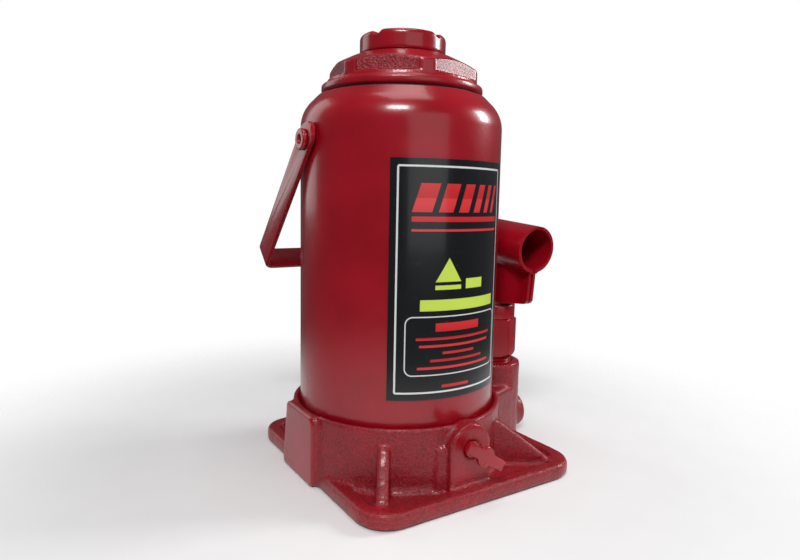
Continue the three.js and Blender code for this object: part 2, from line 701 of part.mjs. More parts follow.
function pumpCylinder() {
  const neck = rodGeometry(PUMP_NECK, PUMP_NECK_FOOT, PUMP_HEX_FOOT + 1, MEDIUM_TURN);
  const chamfer = 2;
  const corner = PUMP_HEX_FLATS / Math.sqrt(3);
  const turned = turnedGeometry([
    [0, PUMP_HEX_FOOT],
    [corner - chamfer, PUMP_HEX_FOOT],
    [corner, PUMP_HEX_FOOT + chamfer],
    [corner, PUMP_HEX_TOP],
    [0, PUMP_HEX_TOP],
  ], MEDIUM_TURN);
  const hexagon = solid(prismGeometry(hexagonShape(PUMP_HEX_FLATS, 30), PUMP_HEX_FOOT, PUMP_HEX_TOP));
  const piece = cut(
    join(solid(neck), solid(turned).intersect(hexagon)),
    solid(rodGeometry(PLUNGER_RADIUS + GAP, PUMP_NECK_FOOT - 1, PUMP_HEX_TOP + 1)),
    solid(rodGeometry(GLAND_SPIGOT + GAP, PUMP_SEAL_FOOT - GAP, PUMP_HEX_TOP + 1, MEDIUM_TURN)),
  );
  return meshOf('pump_cylinder', piece, SMOOTH_PAINT);
}

function pumpFittings() {
  const washer = ringGeometry(PUMP_NECK, PLUNGER_RADIUS + 1, PUMP_BORE_FLOOR + GAP, PUMP_NECK_FOOT - GAP, MEDIUM_TURN);
  const hole = PLUNGER_RADIUS + GAP;
  const seal = ringGeometry(GLAND_SPIGOT, hole, PUMP_SEAL_FOOT, GLAND_SPIGOT_FOOT - GAP, MEDIUM_TURN);
  const gland = turnedGeometry([
    [hole, GLAND_SPIGOT_FOOT],
    [GLAND_SPIGOT, GLAND_SPIGOT_FOOT],
    [GLAND_SPIGOT, PUMP_HEX_TOP + GAP],
    [GLAND_RADIUS, PUMP_HEX_TOP + GAP],
    [GLAND_RADIUS, GLAND_TOP - 1],
    [GLAND_RADIUS - 1, GLAND_TOP],
    [hole, GLAND_TOP],
    [hole, GLAND_SPIGOT_FOOT],
  ], MEDIUM_TURN);
  return [
    meshOf('pump_washer', solid(washer), COPPER),
    meshOf('pump_seal', solid(seal), RUBBER),
    meshOf('gland_nut', solid(gland), SMOOTH_PAINT),
  ];
}

// The plunger's eye is longer than its pin, because the pin moves on an arc.
function pumpPlunger() {
  const shaft = rodGeometry(PLUNGER_RADIUS, PLUNGER_FOOT, PLUNGER_PIN.z - EYE_RADIUS + 3);
  const holeRadius = PIN_RADIUS + 2 * GAP;
  const eye = (radius) => {
    const shape = new THREE.Shape();
    shape.absarc(PLUNGER_EYE_PLAY, PLUNGER_PIN.z, radius, -QUARTER, QUARTER);
    shape.absarc(-PLUNGER_EYE_PLAY, PLUNGER_PIN.z, radius, QUARTER, 3 * QUARTER);
    return shape;
  };
  const half = LINK_THICK / 2;
  const head = solid(uprightPrism(eye(EYE_RADIUS), -half, half));
  const slot = solid(uprightPrism(eye(holeRadius), -half - PAST, half + PAST));
  return meshOf('pump_plunger', cut(join(solid(shaft), head), slot), STEEL);
}

function fulcrumLink() {
  const half = LINK_THICK / 2;
  const strap = solid(uprightPrism(linkShape(LINK_FOOT, LINK_TOP, EYE_RADIUS, LINK_WIDTH / 2), -half, half));
  const holes = [LINK_FOOT, LINK_TOP].map(({ y, z }) =>
    solid(rodAlongX(PIN_RADIUS + GAP, -half - PAST, half + PAST).translate(0, y, z)));
  return meshOf('fulcrum_link', cut(strap, ...holes), SMOOTH_PAINT);
}

// A headed pin along X with a snap ring at its other end, both centred on the pin's axis.
function pinAndRing(name, reach) {
  const head = -reach - GAP;
  const groove = reach + GAP;
  const end = groove + 3.6;
  const pin = turnedGeometry([
    [0, head - PIN_FLANGE],
    [PIN_HEAD, head - PIN_FLANGE],
    [PIN_HEAD, head],
    [PIN_RADIUS, head],
    [PIN_RADIUS, groove],
    [PIN_RADIUS - 1, groove],
    [PIN_RADIUS - 1, groove + 1.8],
    [PIN_RADIUS, groove + 1.8],
    [PIN_RADIUS, end],
    [0, end],
  ], SMALL_TURN);
  const ring = ringGeometry(PIN_RADIUS + 2.2, PIN_RADIUS - 0.7, groove + GAP, groove + 1.5, SMALL_TURN);
  return [
    meshOf(`${name}_pin`, solid(pin.rotateY(QUARTER)), STEEL),
    meshOf(`${name}_pin_ring`, solid(ring.rotateY(QUARTER)), SPRING_STEEL),
  ];
}

// ---------------------------------------------------------------- handle socket

// One bent sheet: a tube with its two ends turned down as ears, close together at the mouth and
// spread apart further back to straddle the plunger and the link.
function socketSheet(pivots) {
  const spreadFrom = 9;
  const spreadTo = 25;
  const plan = (extra) => [
    [EAR_FRONT_GAP + extra, -PAST],
    [EAR_FRONT_GAP + extra, spreadFrom],
    [EAR_GAP + extra, spreadTo],
    [EAR_GAP + extra, SOCKET_LENGTH + PAST],
  ];
  const mirrored = (points) => points.map(([x, y]) => [-x, y]).reverse();
  const foot = -60;
  const outside = [...plan(SHEET), ...mirrored(plan(SHEET))];
  const inside = [...plan(0), ...mirrored(plan(0))];
  const ears = cut(solid(prismGeometry(outlineShape(outside), foot, 0)), solid(prismGeometry(outlineShape(inside), foot - 1, 0)));
  const rear = pivots.top.y + 10;
  const side = outlineShape([
    [1.6, 0], [1.6, -37.5], [3.4, -39.6], [8, -40.6], [pivots.plunger.y - 4, -45.4],
    [pivots.plunger.y + 10, -45.4], [rear - 2, -36], [rear, -32], [rear, 0],
  ]);
  const cheeks = ears.intersect(solid(uprightPrism(side, -30, 30)));
  const barrel = rodAlongY(SOCKET_RADIUS, 0, SOCKET_LENGTH, MEDIUM_TURN);
  const bore = rodAlongY(SOCKET_RADIUS - SHEET, -PAST, SOCKET_LENGTH + PAST, MEDIUM_TURN);
  const seam = solid(prismGeometry(outlineShape(inside), -SOCKET_RADIUS - 3, -SOCKET_RADIUS / 2));
  const notch = blockGeometry([-3, -PAST, SOCKET_RADIUS - 6], [3, 2.4, SOCKET_RADIUS + PAST]);
  const holes = [pivots.top, pivots.plunger].map(({ y, z }) =>
    solid(rodAlongX(PIN_RADIUS + GAP, -30, 30).translate(0, y, z)));
  return cut(join(solid(barrel), cheeks), solid(bore), seam, solid(notch), ...holes);
}

function handleSocket() {
  const tilt = radians(SOCKET_TILT);
  const toSocket = ({ y, z }) => {
    const run = y - SOCKET_MOUTH.y;
    const rise = z - SOCKET_MOUTH.z;
    return {
      y: run * Math.cos(tilt) + rise * Math.sin(tilt),
      z: rise * Math.cos(tilt) - run * Math.sin(tilt),
    };
  };
  const pivots = { top: toSocket(LINK_TOP), plunger: toSocket(PLUNGER_PIN) };
  const group = new THREE.Group();
  group.position.set(PUMP_X, SOCKET_MOUTH.y, SOCKET_MOUTH.z);
  group.rotation.x = tilt;
  group.add(meshOf('handle_socket', socketSheet(pivots), SMOOTH_PAINT));
  const stopFrom = SOCKET_LENGTH - STOP_SETBACK - SOCKET_STOP;
  const stopDisc = rodAlongY(SOCKET_RADIUS - SHEET - GAP, stopFrom, stopFrom + SOCKET_STOP, MEDIUM_TURN);
  const clearSeam = blockGeometry([-EAR_GAP - GAP, 0, -SOCKET_RADIUS], [EAR_GAP + GAP, SOCKET_LENGTH, -9]);
  group.add(meshOf('socket_stop', cut(solid(stopDisc), solid(clearSeam)), STEEL));
  for (const [name, pivot] of [['link_top', pivots.top], ['plunger', pivots.plunger]]) {
    for (const piece of pinAndRing(name, EAR_GAP + SHEET)) {
      piece.position.set(0, pivot.y, pivot.z);
      group.add(piece);
    }
  }
  return group;
}

function pump() {
  const group = new THREE.Group();
  group.position.x = PUMP_X;
  group.add(pumpCylinder(), ...pumpFittings(), pumpPlunger(), fulcrumLink());
  for (const piece of pinAndRing('link_foot', lugOuter)) {
    piece.position.set(0, LINK_FOOT.y, LINK_FOOT.z);
    group.add(piece);
  }
  return group;
}

// ---------------------------------------------------------------- valves

function galleryPieces() {
  const end = GALLERY_BOSS_X - 0.8;
  const plug = cut(
    solid(rodAlongX(GALLERY_PLUG_RADIUS, GALLERY_PLUG_END + GAP, end)),
    solid(uprightPrism(hexagonShape(6), end - 5, end + PAST)),
  );
  const plugMesh = meshOf('gallery_plug', plug, STEEL);
  plugMesh.position.z = GALLERY_Z;

  const outletX = GALLERY_END + 22;
  const outletBall = meshOf('outlet_ball', solid(ballGeometry(BALL_RADIUS)), STEEL);
  outletBall.position.set(outletX, 0, GALLERY_Z);
  const springFrom = outletX + BALL_RADIUS + GAP;
  const outletSpring = meshOf('outlet_spring', solid(springGeometry(GALLERY_PLUG_END - springFrom, 6)), SPRING_STEEL);
  outletSpring.position.set(springFrom, 0, GALLERY_Z);
  outletSpring.rotation.y = QUARTER;

  const inletBall = meshOf('inlet_ball', solid(ballGeometry(BALL_RADIUS)), STEEL);
  inletBall.position.set(ANNULUS_RADIUS, 0, INLET_FLOOR + BALL_RADIUS + GAP);
  const strainer = turnedGeometry([
    [0, OIL_FLOOR - 6], [INLET_BORE - GAP, OIL_FLOOR - 6], [INLET_BORE - GAP, OIL_FLOOR - 1],
    [INLET_BORE - 2, OIL_FLOOR + 1], [0, OIL_FLOOR + 1],
  ], SMALL_TURN);
  const strainerMesh = meshOf('oil_strainer', solid(strainer), BRASS);
  strainerMesh.position.x = ANNULUS_RADIUS;
  return [plugMesh, outletBall, outletSpring, inletBall, strainerMesh];
}

function safetyValve() {
  const group = new THREE.Group();
  group.position.x = -ANNULUS_RADIUS;
  const ball = meshOf('safety_ball', solid(ballGeometry(BALL_RADIUS)), STEEL);
  ball.position.z = SAFETY_FLOOR + BALL_RADIUS + GAP;
  const springFoot = SAFETY_FLOOR + 2 * (BALL_RADIUS + GAP);
  const screwFoot = OIL_FLOOR - 4.5;
  const spring = meshOf('safety_spring', solid(springGeometry(screwFoot - GAP - springFoot, 4)), SPRING_STEEL);
  spring.position.z = springFoot;
  const screw = cut(
    solid(rodGeometry(SAFETY_BORE - GAP, screwFoot, OIL_FLOOR - 0.5)),
    solid(blockGeometry([-0.6, -SAFETY_BORE, OIL_FLOOR - 1.8], [0.6, SAFETY_BORE, OIL_FLOOR + 1])),
  );
  group.add(ball, spring, meshOf('safety_screw', screw, STEEL));
  return group;
}

function releaseValve() {
  const group = new THREE.Group();
  group.position.set(VALVE_X, 0, VALVE_Z);
  const ballY = VALVE_BORE_END - BALL_RADIUS - GAP;
  const stemEnd = ballY - BALL_RADIUS - GAP;
  const stemRadius = VALVE_BORE - GAP;
  const grooveRadius = stemRadius - 1.6;
  const stem = turnedGeometry([
    [0, VALVE_PLATE_BACK],
    [stemRadius - 1.5, VALVE_PLATE_BACK],
    [stemRadius - 1.5, VALVE_BOSS_Y - 1],
    [stemRadius, VALVE_BOSS_Y - 1],
    [stemRadius, VALVE_RING_Y - 1.2],
    [grooveRadius, VALVE_RING_Y - 1.2],
    [grooveRadius, VALVE_RING_Y + 1.2],
    [stemRadius, VALVE_RING_Y + 1.2],
    [stemRadius, stemEnd - 4],
    [1.4, stemEnd],
    [0, stemEnd],
  ], SMALL_TURN).rotateX(-QUARTER);

  const arms = blockGeometry(
    [-VALVE_ARMS / 2, VALVE_PLATE_BACK - GAP - VALVE_PLATE, -VALVE_ARM_WIDTH / 2],
    [VALVE_ARMS / 2, VALVE_PLATE_BACK - GAP, VALVE_ARM_WIDTH / 2],
  );
  const disc = rodAlongY(VALVE_DISC, VALVE_PLATE_BACK - GAP - VALVE_PLATE, VALVE_PLATE_BACK - GAP, MEDIUM_TURN);
  const key = join(solid(arms.rotateY(radians(VALVE_ARM_ANGLE))), solid(disc));

  const ring = ringGeometry(
    VALVE_BORE - GAP / 2, grooveRadius + GAP, VALVE_RING_Y - 0.9, VALVE_RING_Y + 0.9, SMALL_TURN,
  ).rotateX(-QUARTER);
  const ball = meshOf('release_ball', solid(ballGeometry(BALL_RADIUS)), STEEL);
  ball.position.y = ballY;
  group.add(
    meshOf('release_valve_stem', solid(stem), STEEL),
    meshOf('release_valve_key', key, SMOOTH_PAINT),
    meshOf('release_valve_ring', solid(ring), RUBBER),
    ball,
  );
  return group;
}

// ---------------------------------------------------------------- carrying handle

// The strap hangs from its pivots along -Z before it leans back.
function carryingHandle() {
  const outerX = HANDLE_INNER_X + STRAP;
  const foot = -HANDLE_REACH - STRAP / 2;
  const bend = (halfWidth, low, radius, top) => {
    const shape = new THREE.Shape();
    shape.moveTo(-halfWidth, top);
    shape.lineTo(-halfWidth, low + radius);
    shape.absarc(-halfWidth + radius, low + radius, radius, Math.PI, 1.5 * Math.PI);
    shape.absarc(halfWidth - radius, low + radius, radius, 1.5 * Math.PI, 2 * Math.PI);
    shape.lineTo(halfWidth, top);
    return shape;
  };
  const crest = 13;
  const section = (shape, from, to) => solid(prismGeometry(shape, from, to).rotateX(QUARTER));
  const half = STRAP_WIDTH / 2;
  const outside = section(bend(outerX, foot, STRAP_BEND, crest), -half, half);
  const inside = section(bend(HANDLE_INNER_X, foot + STRAP, STRAP_BEND - STRAP, crest + PAST), -half - 1, half + 1);
  const sides = outlineShape([
    [-half, foot - 1], [half, foot - 1], [half, 3], [half - 1.6, 7], [half - 5, crest - 2.2],
    [half - 9, crest], [1 - half, crest - 4.5], [-half, crest - 8],
  ]);
  const trimmed = cut(outside, inside).intersect(solid(uprightPrism(sides, -outerX - 1, outerX + 1)));
  const holes = rodAlongX(PIVOT_RADIUS + GAP, -outerX - PAST, outerX + PAST);
  const mesh = meshOf('carrying_handle', cut(trimmed, solid(holes)), SMOOTH_PAINT);
  mesh.position.z = HANDLE_Z;
  mesh.rotation.x = radians(HANDLE_LEAN);
  return mesh;
}

function handlePivots() {
  const seat = RESERVOIR_RADIUS + GAP;
  const headFrom = HANDLE_INNER_X + STRAP + GAP;
  const headTo = headFrom + PIVOT_HEAD_THICK;
  return ['left', 'right'].map((side) => {
    const pivot = turnedGeometry([
      [0, seat],
      [PIVOT_RADIUS, seat],
      [PIVOT_RADIUS, headFrom],
      [PIVOT_HEAD, headFrom],
      [PIVOT_HEAD, headTo - 0.6],
      [PIVOT_HEAD - 0.6, headTo],
      [2.6, headTo],
      [2.6, headTo - 1.6],
      [0, headTo - 1.6],
    ], SMALL_TURN).rotateY(side === 'left' ? -QUARTER : QUARTER);
    const mesh = meshOf(`handle_pivot_${side}`, solid(pivot), SMOOTH_PAINT);
    mesh.position.z = HANDLE_Z;
    return mesh;
  });
}

// ---------------------------------------------------------------- assembly

const jack = new THREE.Group();
jack.add(
  baseCasting(),
  reservoirTube(),
  ...reservoirSeals(),
  ...cylinderPieces(),
  topNut(),
  label(),
  fillerPlug(),
  ...ramPieces(),
  screwStopRing(),
  extensionScrew(),
  pump(),
  handleSocket(),
  ...galleryPieces(),
  safetyValve(),
  releaseValve(),
  carryingHandle(),
  ...handlePivots(),
);

export default jack;
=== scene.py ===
"""A closed hydraulic bottle jack, with its finished pieces built round its frame.

The file is laid out as an add-on. The properties hold the sizes and colours that a maker would
change, each operator makes one piece or one group of like pieces, and main() runs them in order.
Lengths in outlines are millimetres in the jack's own frame: +Z is up along the ram, +X points to
the pump and -Y to the release valve.
"""

import functools
import math

import bpy
from mathutils import Matrix, Vector


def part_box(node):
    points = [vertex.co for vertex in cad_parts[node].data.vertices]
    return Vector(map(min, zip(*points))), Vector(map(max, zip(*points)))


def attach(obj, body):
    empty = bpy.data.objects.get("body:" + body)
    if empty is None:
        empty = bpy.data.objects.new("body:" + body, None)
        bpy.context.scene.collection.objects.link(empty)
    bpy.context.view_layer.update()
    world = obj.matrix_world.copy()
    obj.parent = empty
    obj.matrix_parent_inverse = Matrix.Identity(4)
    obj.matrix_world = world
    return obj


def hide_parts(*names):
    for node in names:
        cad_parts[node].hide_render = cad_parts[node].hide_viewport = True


bl_info = {
    "name": "Bottle Jack",
    "version": (1, 0, 0),
    "blender": (4, 5, 0),
    "location": "3D View > Sidebar > Bottle Jack",
    "description": "Builds the finished pieces of a hydraulic bottle jack",
    "category": "Add Mesh",
}

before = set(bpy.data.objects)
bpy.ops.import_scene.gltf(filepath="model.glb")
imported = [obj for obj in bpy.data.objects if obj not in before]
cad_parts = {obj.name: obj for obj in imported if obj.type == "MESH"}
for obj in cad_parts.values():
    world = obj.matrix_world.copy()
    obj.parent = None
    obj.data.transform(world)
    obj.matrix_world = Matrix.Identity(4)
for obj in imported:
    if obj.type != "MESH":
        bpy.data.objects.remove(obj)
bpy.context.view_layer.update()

MM = 0.001
FULL_TURN = 2 * math.pi
AXES = {"X": Vector((1, 0, 0)), "Y": Vector((0, 1, 0)), "Z": Vector((0, 0, 1))}

# The base plate and the collar round the reservoir, in millimetres.
PLATE = {"left": -68, "right": 92, "corner": 20, "rim_height": 9.7, "rim_width": 9, "tray": 6.6}
COLLAR = {"radius": 70.9, "top": 46.4}

# The camera, in metres from the foot of the ram's axis, and its lens in millimetres.
EYE_DISTANCE = 0.4158
EYE_HEIGHT = 0.1812
EYE_ROLL = math.radians(1.1)
LENS = 27.54
SENSOR = 36.0
SHIFT = (0.0019, -0.0111)

# The floor fades out between these distances from the jack, and the lights aim at this height.
FLOOR_FADE = (0.16, 0.42)
AIM_HEIGHT = 0.15


@functools.cache
def box_mm(node):
    """A frame node's lowest and highest corners, in millimetres."""
    low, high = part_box(node)
    return low / MM, high / MM


def middle_mm(node):
    """The middle of a frame node's box, in millimetres."""
    low, high = box_mm(node)
    return (low + high) / 2


# ------------------------------------------------------------------ modelling


def rounded(corners, closed=False, steps=4):
    """The corners as points. A corner with a third number is rounded to that radius."""
    points = []
    for index, corner in enumerate(corners):
        at = Vector(corner[:2])
        ends_here = not closed and index in (0, len(corners) - 1)
        if len(corner) < 3 or ends_here:
            points.append(at)
            continue
        before = Vector(corners[index - 1][:2]) - at
        after = Vector(corners[(index + 1) % len(corners)][:2]) - at
        half = before.angle(after) / 2
        reach = min(corner[2] / math.tan(half), 0.49 * before.length, 0.49 * after.length)
        before.normalize()
        after.normalize()
        centre = at + (before + after).normalized() * (reach / math.cos(half))
        first = at + before * reach - centre
        last = at + after * reach - centre
        start = math.atan2(first.y, first.x)
        turn = (math.atan2(last.y, last.x) - start + math.pi) % FULL_TURN - math.pi
        for step in range(steps + 1):
            angle = start + turn * step / steps
            points.append(centre + first.length * Vector((math.cos(angle), math.sin(angle))))
    return points


def arc(centre, radius, start, end, steps):
    """Points on an arc, from one angle in degrees to another."""
    angles = [math.radians(start + (end - start) * step / steps) for step in range(steps + 1)]
    return [(centre[0] + radius * math.cos(a), centre[1] + radius * math.sin(a)) for a in angles]


def select_only(piece):
    """Selects one piece and makes it the active one."""
    bpy.ops.object.select_all(action="DESELECT")
    piece.select_set(True)
    bpy.context.view_layer.objects.active = piece


def drawn(name, points, closed=True):
    """A chain of edges through the points in millimetres, filled with one face where it's closed."""
    bpy.ops.object.select_all(action="DESELECT")
    bpy.ops.mesh.primitive_plane_add(size=MM, location=(0, 0, 0))
    piece = bpy.context.object
    piece.name = piece.data.name = name
    bpy.ops.object.mode_set(mode="EDIT")
    bpy.ops.mesh.merge(type="CENTER")
    bpy.ops.transform.translate(value=Vector(points[0]) * MM)
    for before, after in zip(points, points[1:]):
        step = (Vector(after) - Vector(before)) * MM
        bpy.ops.mesh.extrude_region_move(TRANSFORM_OT_translate={"value": step})
    if closed:
        bpy.ops.mesh.select_all(action="SELECT")
        bpy.ops.mesh.edge_face_add()
    bpy.ops.object.mode_set(mode="OBJECT")
    return piece


def tidy_shell(piece):
    """Merges doubles and turns every face outwards."""
    select_only(piece)
    bpy.ops.object.mode_set(mode="EDIT")
    bpy.ops.mesh.select_all(action="SELECT")
    bpy.ops.mesh.remove_doubles(threshold=1e-6)
    bpy.ops.mesh.normals_make_consistent(inside=False)
    bpy.ops.object.mode_set(mode="OBJECT")


def turned(name, corners, axis="Z", at=(0, 0, 0), steps=96):
    """Spins an outline of (radius, height, rounding) corners about an axis through a point."""
    along = AXES[axis]
    out = AXES["X" if axis != "X" else "Y"]
    ring = corners[0][0] > 0
    outline = rounded(corners + corners[:1] if ring else corners)
    points = [Vector(at) + out * point.x + along * point.y for point in outline]
    piece = drawn(name, points, closed=False)
    bpy.ops.object.mode_set(mode="EDIT")
    bpy.ops.mesh.select_all(action="SELECT")
    bpy.ops.mesh.spin(steps=steps, angle=FULL_TURN, center=Vector(at) * MM, axis=along)
    bpy.ops.object.mode_set(mode="OBJECT")
    tidy_shell(piece)
    return piece


def plate(name, corners, axis, low, high, steps=4):
    """Extrudes a flat outline of (across, up, rounding) corners along an axis, from low to high.

    Across and up are Y and Z along X, X and Z along Y, and X and Y along Z.
    """
    across, up = {"X": ("Y", "Z"), "Y": ("X", "Z"), "Z": ("X", "Y")}[axis]
    base = AXES[axis] * low
    outline = rounded(corners, closed=True, steps=steps)
    piece = drawn(name, [base + AXES[across] * p.x + AXES[up] * p.y for p in outline])
    bpy.ops.object.mode_set(mode="EDIT")
    rise = AXES[axis] * (high - low) * MM
    bpy.ops.mesh.extrude_region_move(TRANSFORM_OT_translate={"value": rise})
    bpy.ops.object.mode_set(mode="OBJECT")
    tidy_shell(piece)
    return piece


def rod(name, radius, low, high, axis="Z", at=(0, 0, 0), steps=48):
    """A plain cylinder used to cut or to join."""
    corners = [(0, low), (radius, low), (radius, high), (0, high)]
    return turned(name, corners, axis, at, steps)


def block(name, low, high):
    """A box between two corners, in millimetres."""
    corners = [(low[0], low[1]), (high[0], low[1]), (high[0], high[1]), (low[0], high[1])]
    return plate(name, corners, "Z", low[2], high[2])


def change(piece, kind, **settings):
    """Adds a modifier and applies it."""
    select_only(piece)
    modifier = piece.modifiers.new(kind.title(), kind)
    for key, value in settings.items():
        setattr(modifier, key, value)
    bpy.ops.object.modifier_apply(modifier=modifier.name)


def combine(piece, operation, *tools):
    """Cuts, joins or intersects a piece with tools, and removes the tools."""
    for tool in tools:
        change(piece, "BOOLEAN", operation=operation, object=tool, solver="EXACT")
        bpy.data.objects.remove(tool)
    return piece


def move(piece, matrix):
    """Moves the mesh itself, so that its object stays at the origin."""
    piece.data.transform(matrix)
    return piece


def placed(piece, turn_axis="X", degrees=0.0, at=(0, 0, 0)):
    """Turns a mesh about the origin, then shifts it by a distance in millimetres."""
    turn = Matrix.Rotation(math.radians(degrees), 4, turn_axis)
    return move(piece, Matrix.Translation(Vector(at) * MM) @ turn)


def soften(piece, width, segments=3, angle=30):
    """Rounds the sharp edges."""
    change(
        piece,
        "BEVEL",
        width=width * MM,
        segments=segments,
        limit_method="ANGLE",
        angle_limit=math.radians(angle),
        use_clamp_overlap=True,
    )


def cast(piece, voxel, rounds):
    """Fuses a piece into one evenly meshed skin and rounds its corners, as casting does."""
    change(piece, "REMESH", mode="VOXEL", voxel_size=voxel * MM, adaptivity=0.0)
    change(piece, "SMOOTH", factor=0.5, iterations=rounds)


def ripple(piece, size, strength, weights=None):
    """Raises shallow uneven ground on a piece, within a vertex group where one is given."""
    pattern = bpy.data.textures.new(piece.name + "_ripple", "CLOUDS")
    pattern.noise_scale = size * MM
    pattern.noise_depth = 2
    settings = {"texture": pattern, "texture_coords": "GLOBAL", "strength": strength * MM}
    if weights:
        settings["vertex_group"] = weights
    change(piece, "DISPLACE", mid_level=0.5, **settings)


def mark(piece, name, weigh):
    """Stores a number for each point of a piece, from its place and normal in millimetres."""
    values = [weigh(v.co / MM, v.normal) for v in piece.data.vertices]
    piece.data.attributes.new(name, "FLOAT", "POINT").data.foreach_set("value", values)
    group = piece.vertex_groups.new(name=name)
    for vertex, value in enumerate(values):
        group.add([vertex], value, "REPLACE")


def finished(piece, body, slot, *nodes, angle=35):
    """Shades a piece, gives it its finish and lets it ride on its body in place of its nodes."""
    select_only(piece)
    bpy.ops.object.shade_smooth_by_angle(angle=math.radians(angle))
    piece.data.materials.clear()
    piece.data.materials.append(finish_of(slot))
    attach(piece, body)
    if nodes:
        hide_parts(*nodes)
    return piece


# ------------------------------------------------------------------ materials


class Wire:
    """A node's output that takes part in Python arithmetic: each operator adds its Math node."""

    def __init__(self, tree, socket):
        self.tree = tree
        self.socket = socket

    def node(self, kind, settings=None, inputs=None, output=0):
        """Adds a node, sets it up, then gives its sockets values or links. Returns its output."""
        made = self.tree.nodes.new(kind)
        for key, value in (settings or {}).items():
            if key == "stops":
                ramp = made.color_ramp.elements
                while len(ramp) < len(value):
                    ramp.new(1.0)
                for element, (position, color) in zip(ramp, value):
                    element.position, element.color = position, (*color, 1.0)
            else:
                setattr(made, key, value)
        for key, value in (inputs or {}).items():
            if isinstance(value, Wire):
                self.tree.links.new(value.socket, made.inputs[key])
            else:
                made.inputs[key].default_value = value
        return Wire(self.tree, made.outputs[output]) if made.outputs else None

    def maths(self, operation, *values):
        """A Math node on values or wires."""
        return self.node("ShaderNodeMath", {"operation": operation}, dict(enumerate(values)))

    def __add__(self, other):
        return self.maths("ADD", self, other)

    def __radd__(self, other):
        return self.maths("ADD", other, self)

    def __sub__(self, other):
        return self.maths("SUBTRACT", self, other)

    def __rsub__(self, other):
        return self.maths("SUBTRACT", other, self)

    def __mul__(self, other):
        return self.maths("MULTIPLY", self, other)

    def __rmul__(self, other):
        return self.maths("MULTIPLY", other, self)

    def __truediv__(self, other):
        return self.maths("DIVIDE", self, other)

    def root(self):
        """The square root."""
        return self.maths("SQRT", self)

    def __abs__(self):
        return self.maths("ABSOLUTE", self)

    def most(self, other):
        """The larger of two."""
        return self.maths("MAXIMUM", self, other)

    def step(self, start, end):
        """Rises smoothly from 0 at start to 1 at end."""
        ends = {"Value": self, "From Min": start, "From Max": end}
        return self.node("ShaderNodeMapRange", {"interpolation_type": "SMOOTHSTEP"}, ends)

    def xyz(self):
        """The three parts of a vector."""
        return [self.node("ShaderNodeSeparateXYZ", None, {0: self}, part) for part in range(3)]

    def noise(self, size, detail=2.0, roughness=0.5):
        """Uneven values from 0 to 1 with lumps of about that size in millimetres."""
        values = {"Vector": self, "Scale": 1 / (size * MM), "Detail": detail, "Roughness": roughness}
        return self.node("ShaderNodeTexNoise", None, values)

    def mixed(self, first, second):
        """One colour where this is 0 and the other where it's 1."""
        values = {0: self}
        for key, color in ((6, first), (7, second)):
            values[key] = color if isinstance(color, Wire) else (*color, 1.0)
        return self.node("ShaderNodeMix", {"data_type": "RGBA"}, values, 2)


def new_material(name):
    """An empty material's tree, and its surface's place on the piece."""
    material = bpy.data.materials.new(name)
    material.use_nodes = True
    tree = material.node_tree
    tree.nodes.clear()
    place = Wire(tree, tree.nodes.new("ShaderNodeTexCoord").outputs["Object"])
    return material, place


def surface(place, color, roughness, height=None, depth=0.1, **sockets):
    """Ends a material with its shader. Depth is the relief's, in millimetres."""
    values = {"Roughness": roughness}
    values["Base Color"] = color if isinstance(color, Wire) else (*color, 1.0)
    if height is not None:
        relief = {"Strength": 1.0, "Distance": depth * MM, "Height": height}
        values["Normal"] = place.node("ShaderNodeBump", None, relief)
    for key, value in sockets.items():
        values[key.replace("_", " ")] = value
    shader = place.node("ShaderNodeBsdfPrincipled", None, values)
    place.node("ShaderNodeOutputMaterial", None, {"Surface": shader})


def attribute(place, name):
    """A number stored on the piece's points."""
    return place.node("ShaderNodeAttribute", {"attribute_name": name}, None, 2)


def cast_paint(name, colors):
    """Gloss paint over a rough casting, with painted shade darkening the pits of its skin. The cast
    attribute fades out on machined faces, and the painted shade fades with it.
    """
    material, place = new_material(name)
    rough = attribute(place, "cast")
    pits = place.noise(1.3, 3.0, 0.62)
    lumps = place.noise(4.5, 2.0)
    clouds = place.noise(26.0, 3.0)
    low = pits.step(0.36, 0.6)
    tone = clouds.step(0.3, 0.72).mixed(colors.paint_dark, colors.paint)
    # Painted shade: the bottoms of the pits on the rough skin are darkened towards the pit colour, in place
    # of the shade that falls in them.
    tone = (rough * (1 - low) * 0.7).mixed(tone, colors.pit_shade_and_specks)
    height = rough * (pits * 0.75 + lumps * 0.6) + place.noise(0.9) * 0.04
    gloss = 0.24 + rough * 0.1 + clouds * 0.08
    surface(place, tone, gloss, height, depth=0.95, Coat_Weight=0.25, Coat_Roughness=0.12)
    return material


def smooth_paint(name, colors):
    """Gloss paint on smooth sheet and tube, with a faint orange peel and thicker runs."""
    material, place = new_material(name)
    peel = place.noise(2.6, 1.0)
    clouds = place.noise(34.0, 3.0)
    specks = place.noise(0.8, 1.0).step(0.68, 0.74)
    tone = clouds.step(0.25, 0.75).mixed(colors.paint_dark, colors.paint)
    tone = (specks * 0.25).mixed(tone, colors.pit_shade_and_specks)
    gloss = 0.2 + clouds * 0.1
    height = peel * 0.8 + place.noise(9.0) * 1.2
    surface(place, tone, gloss, height, depth=0.045, Coat_Weight=0.25, Coat_Roughness=0.1)
    return material


def machined(name, color, roughness, axis_scale=(1, 1, 1), grain=0.35):
    """Turned or ground metal with fine marks that run along one way."""
    material, place = new_material(name)
    mapped = place.node("ShaderNodeMapping", None, {"Vector": place, "Scale": axis_scale})
    marks = mapped.noise(grain, 2.0)
    stain = place.noise(12.0, 3.0)
    tone = stain.step(0.35, 0.75).mixed([c * 0.82 for c in color], color)
    surface(place, tone, roughness + marks * 0.12, marks, depth=0.02, Metallic=1.0)
    return material


def plain_rubber(name, color):
    """Moulded rubber with a dull, slightly uneven skin."""
    material, place = new_material(name)
    skin = place.noise(0.7, 3.0)
    tone = place.noise(8.0).step(0.3, 0.7).mixed(color, [c * 1.5 + 0.004 for c in color])
    surface(place, tone, 0.55 + skin * 0.2, skin, depth=0.04)
    return material


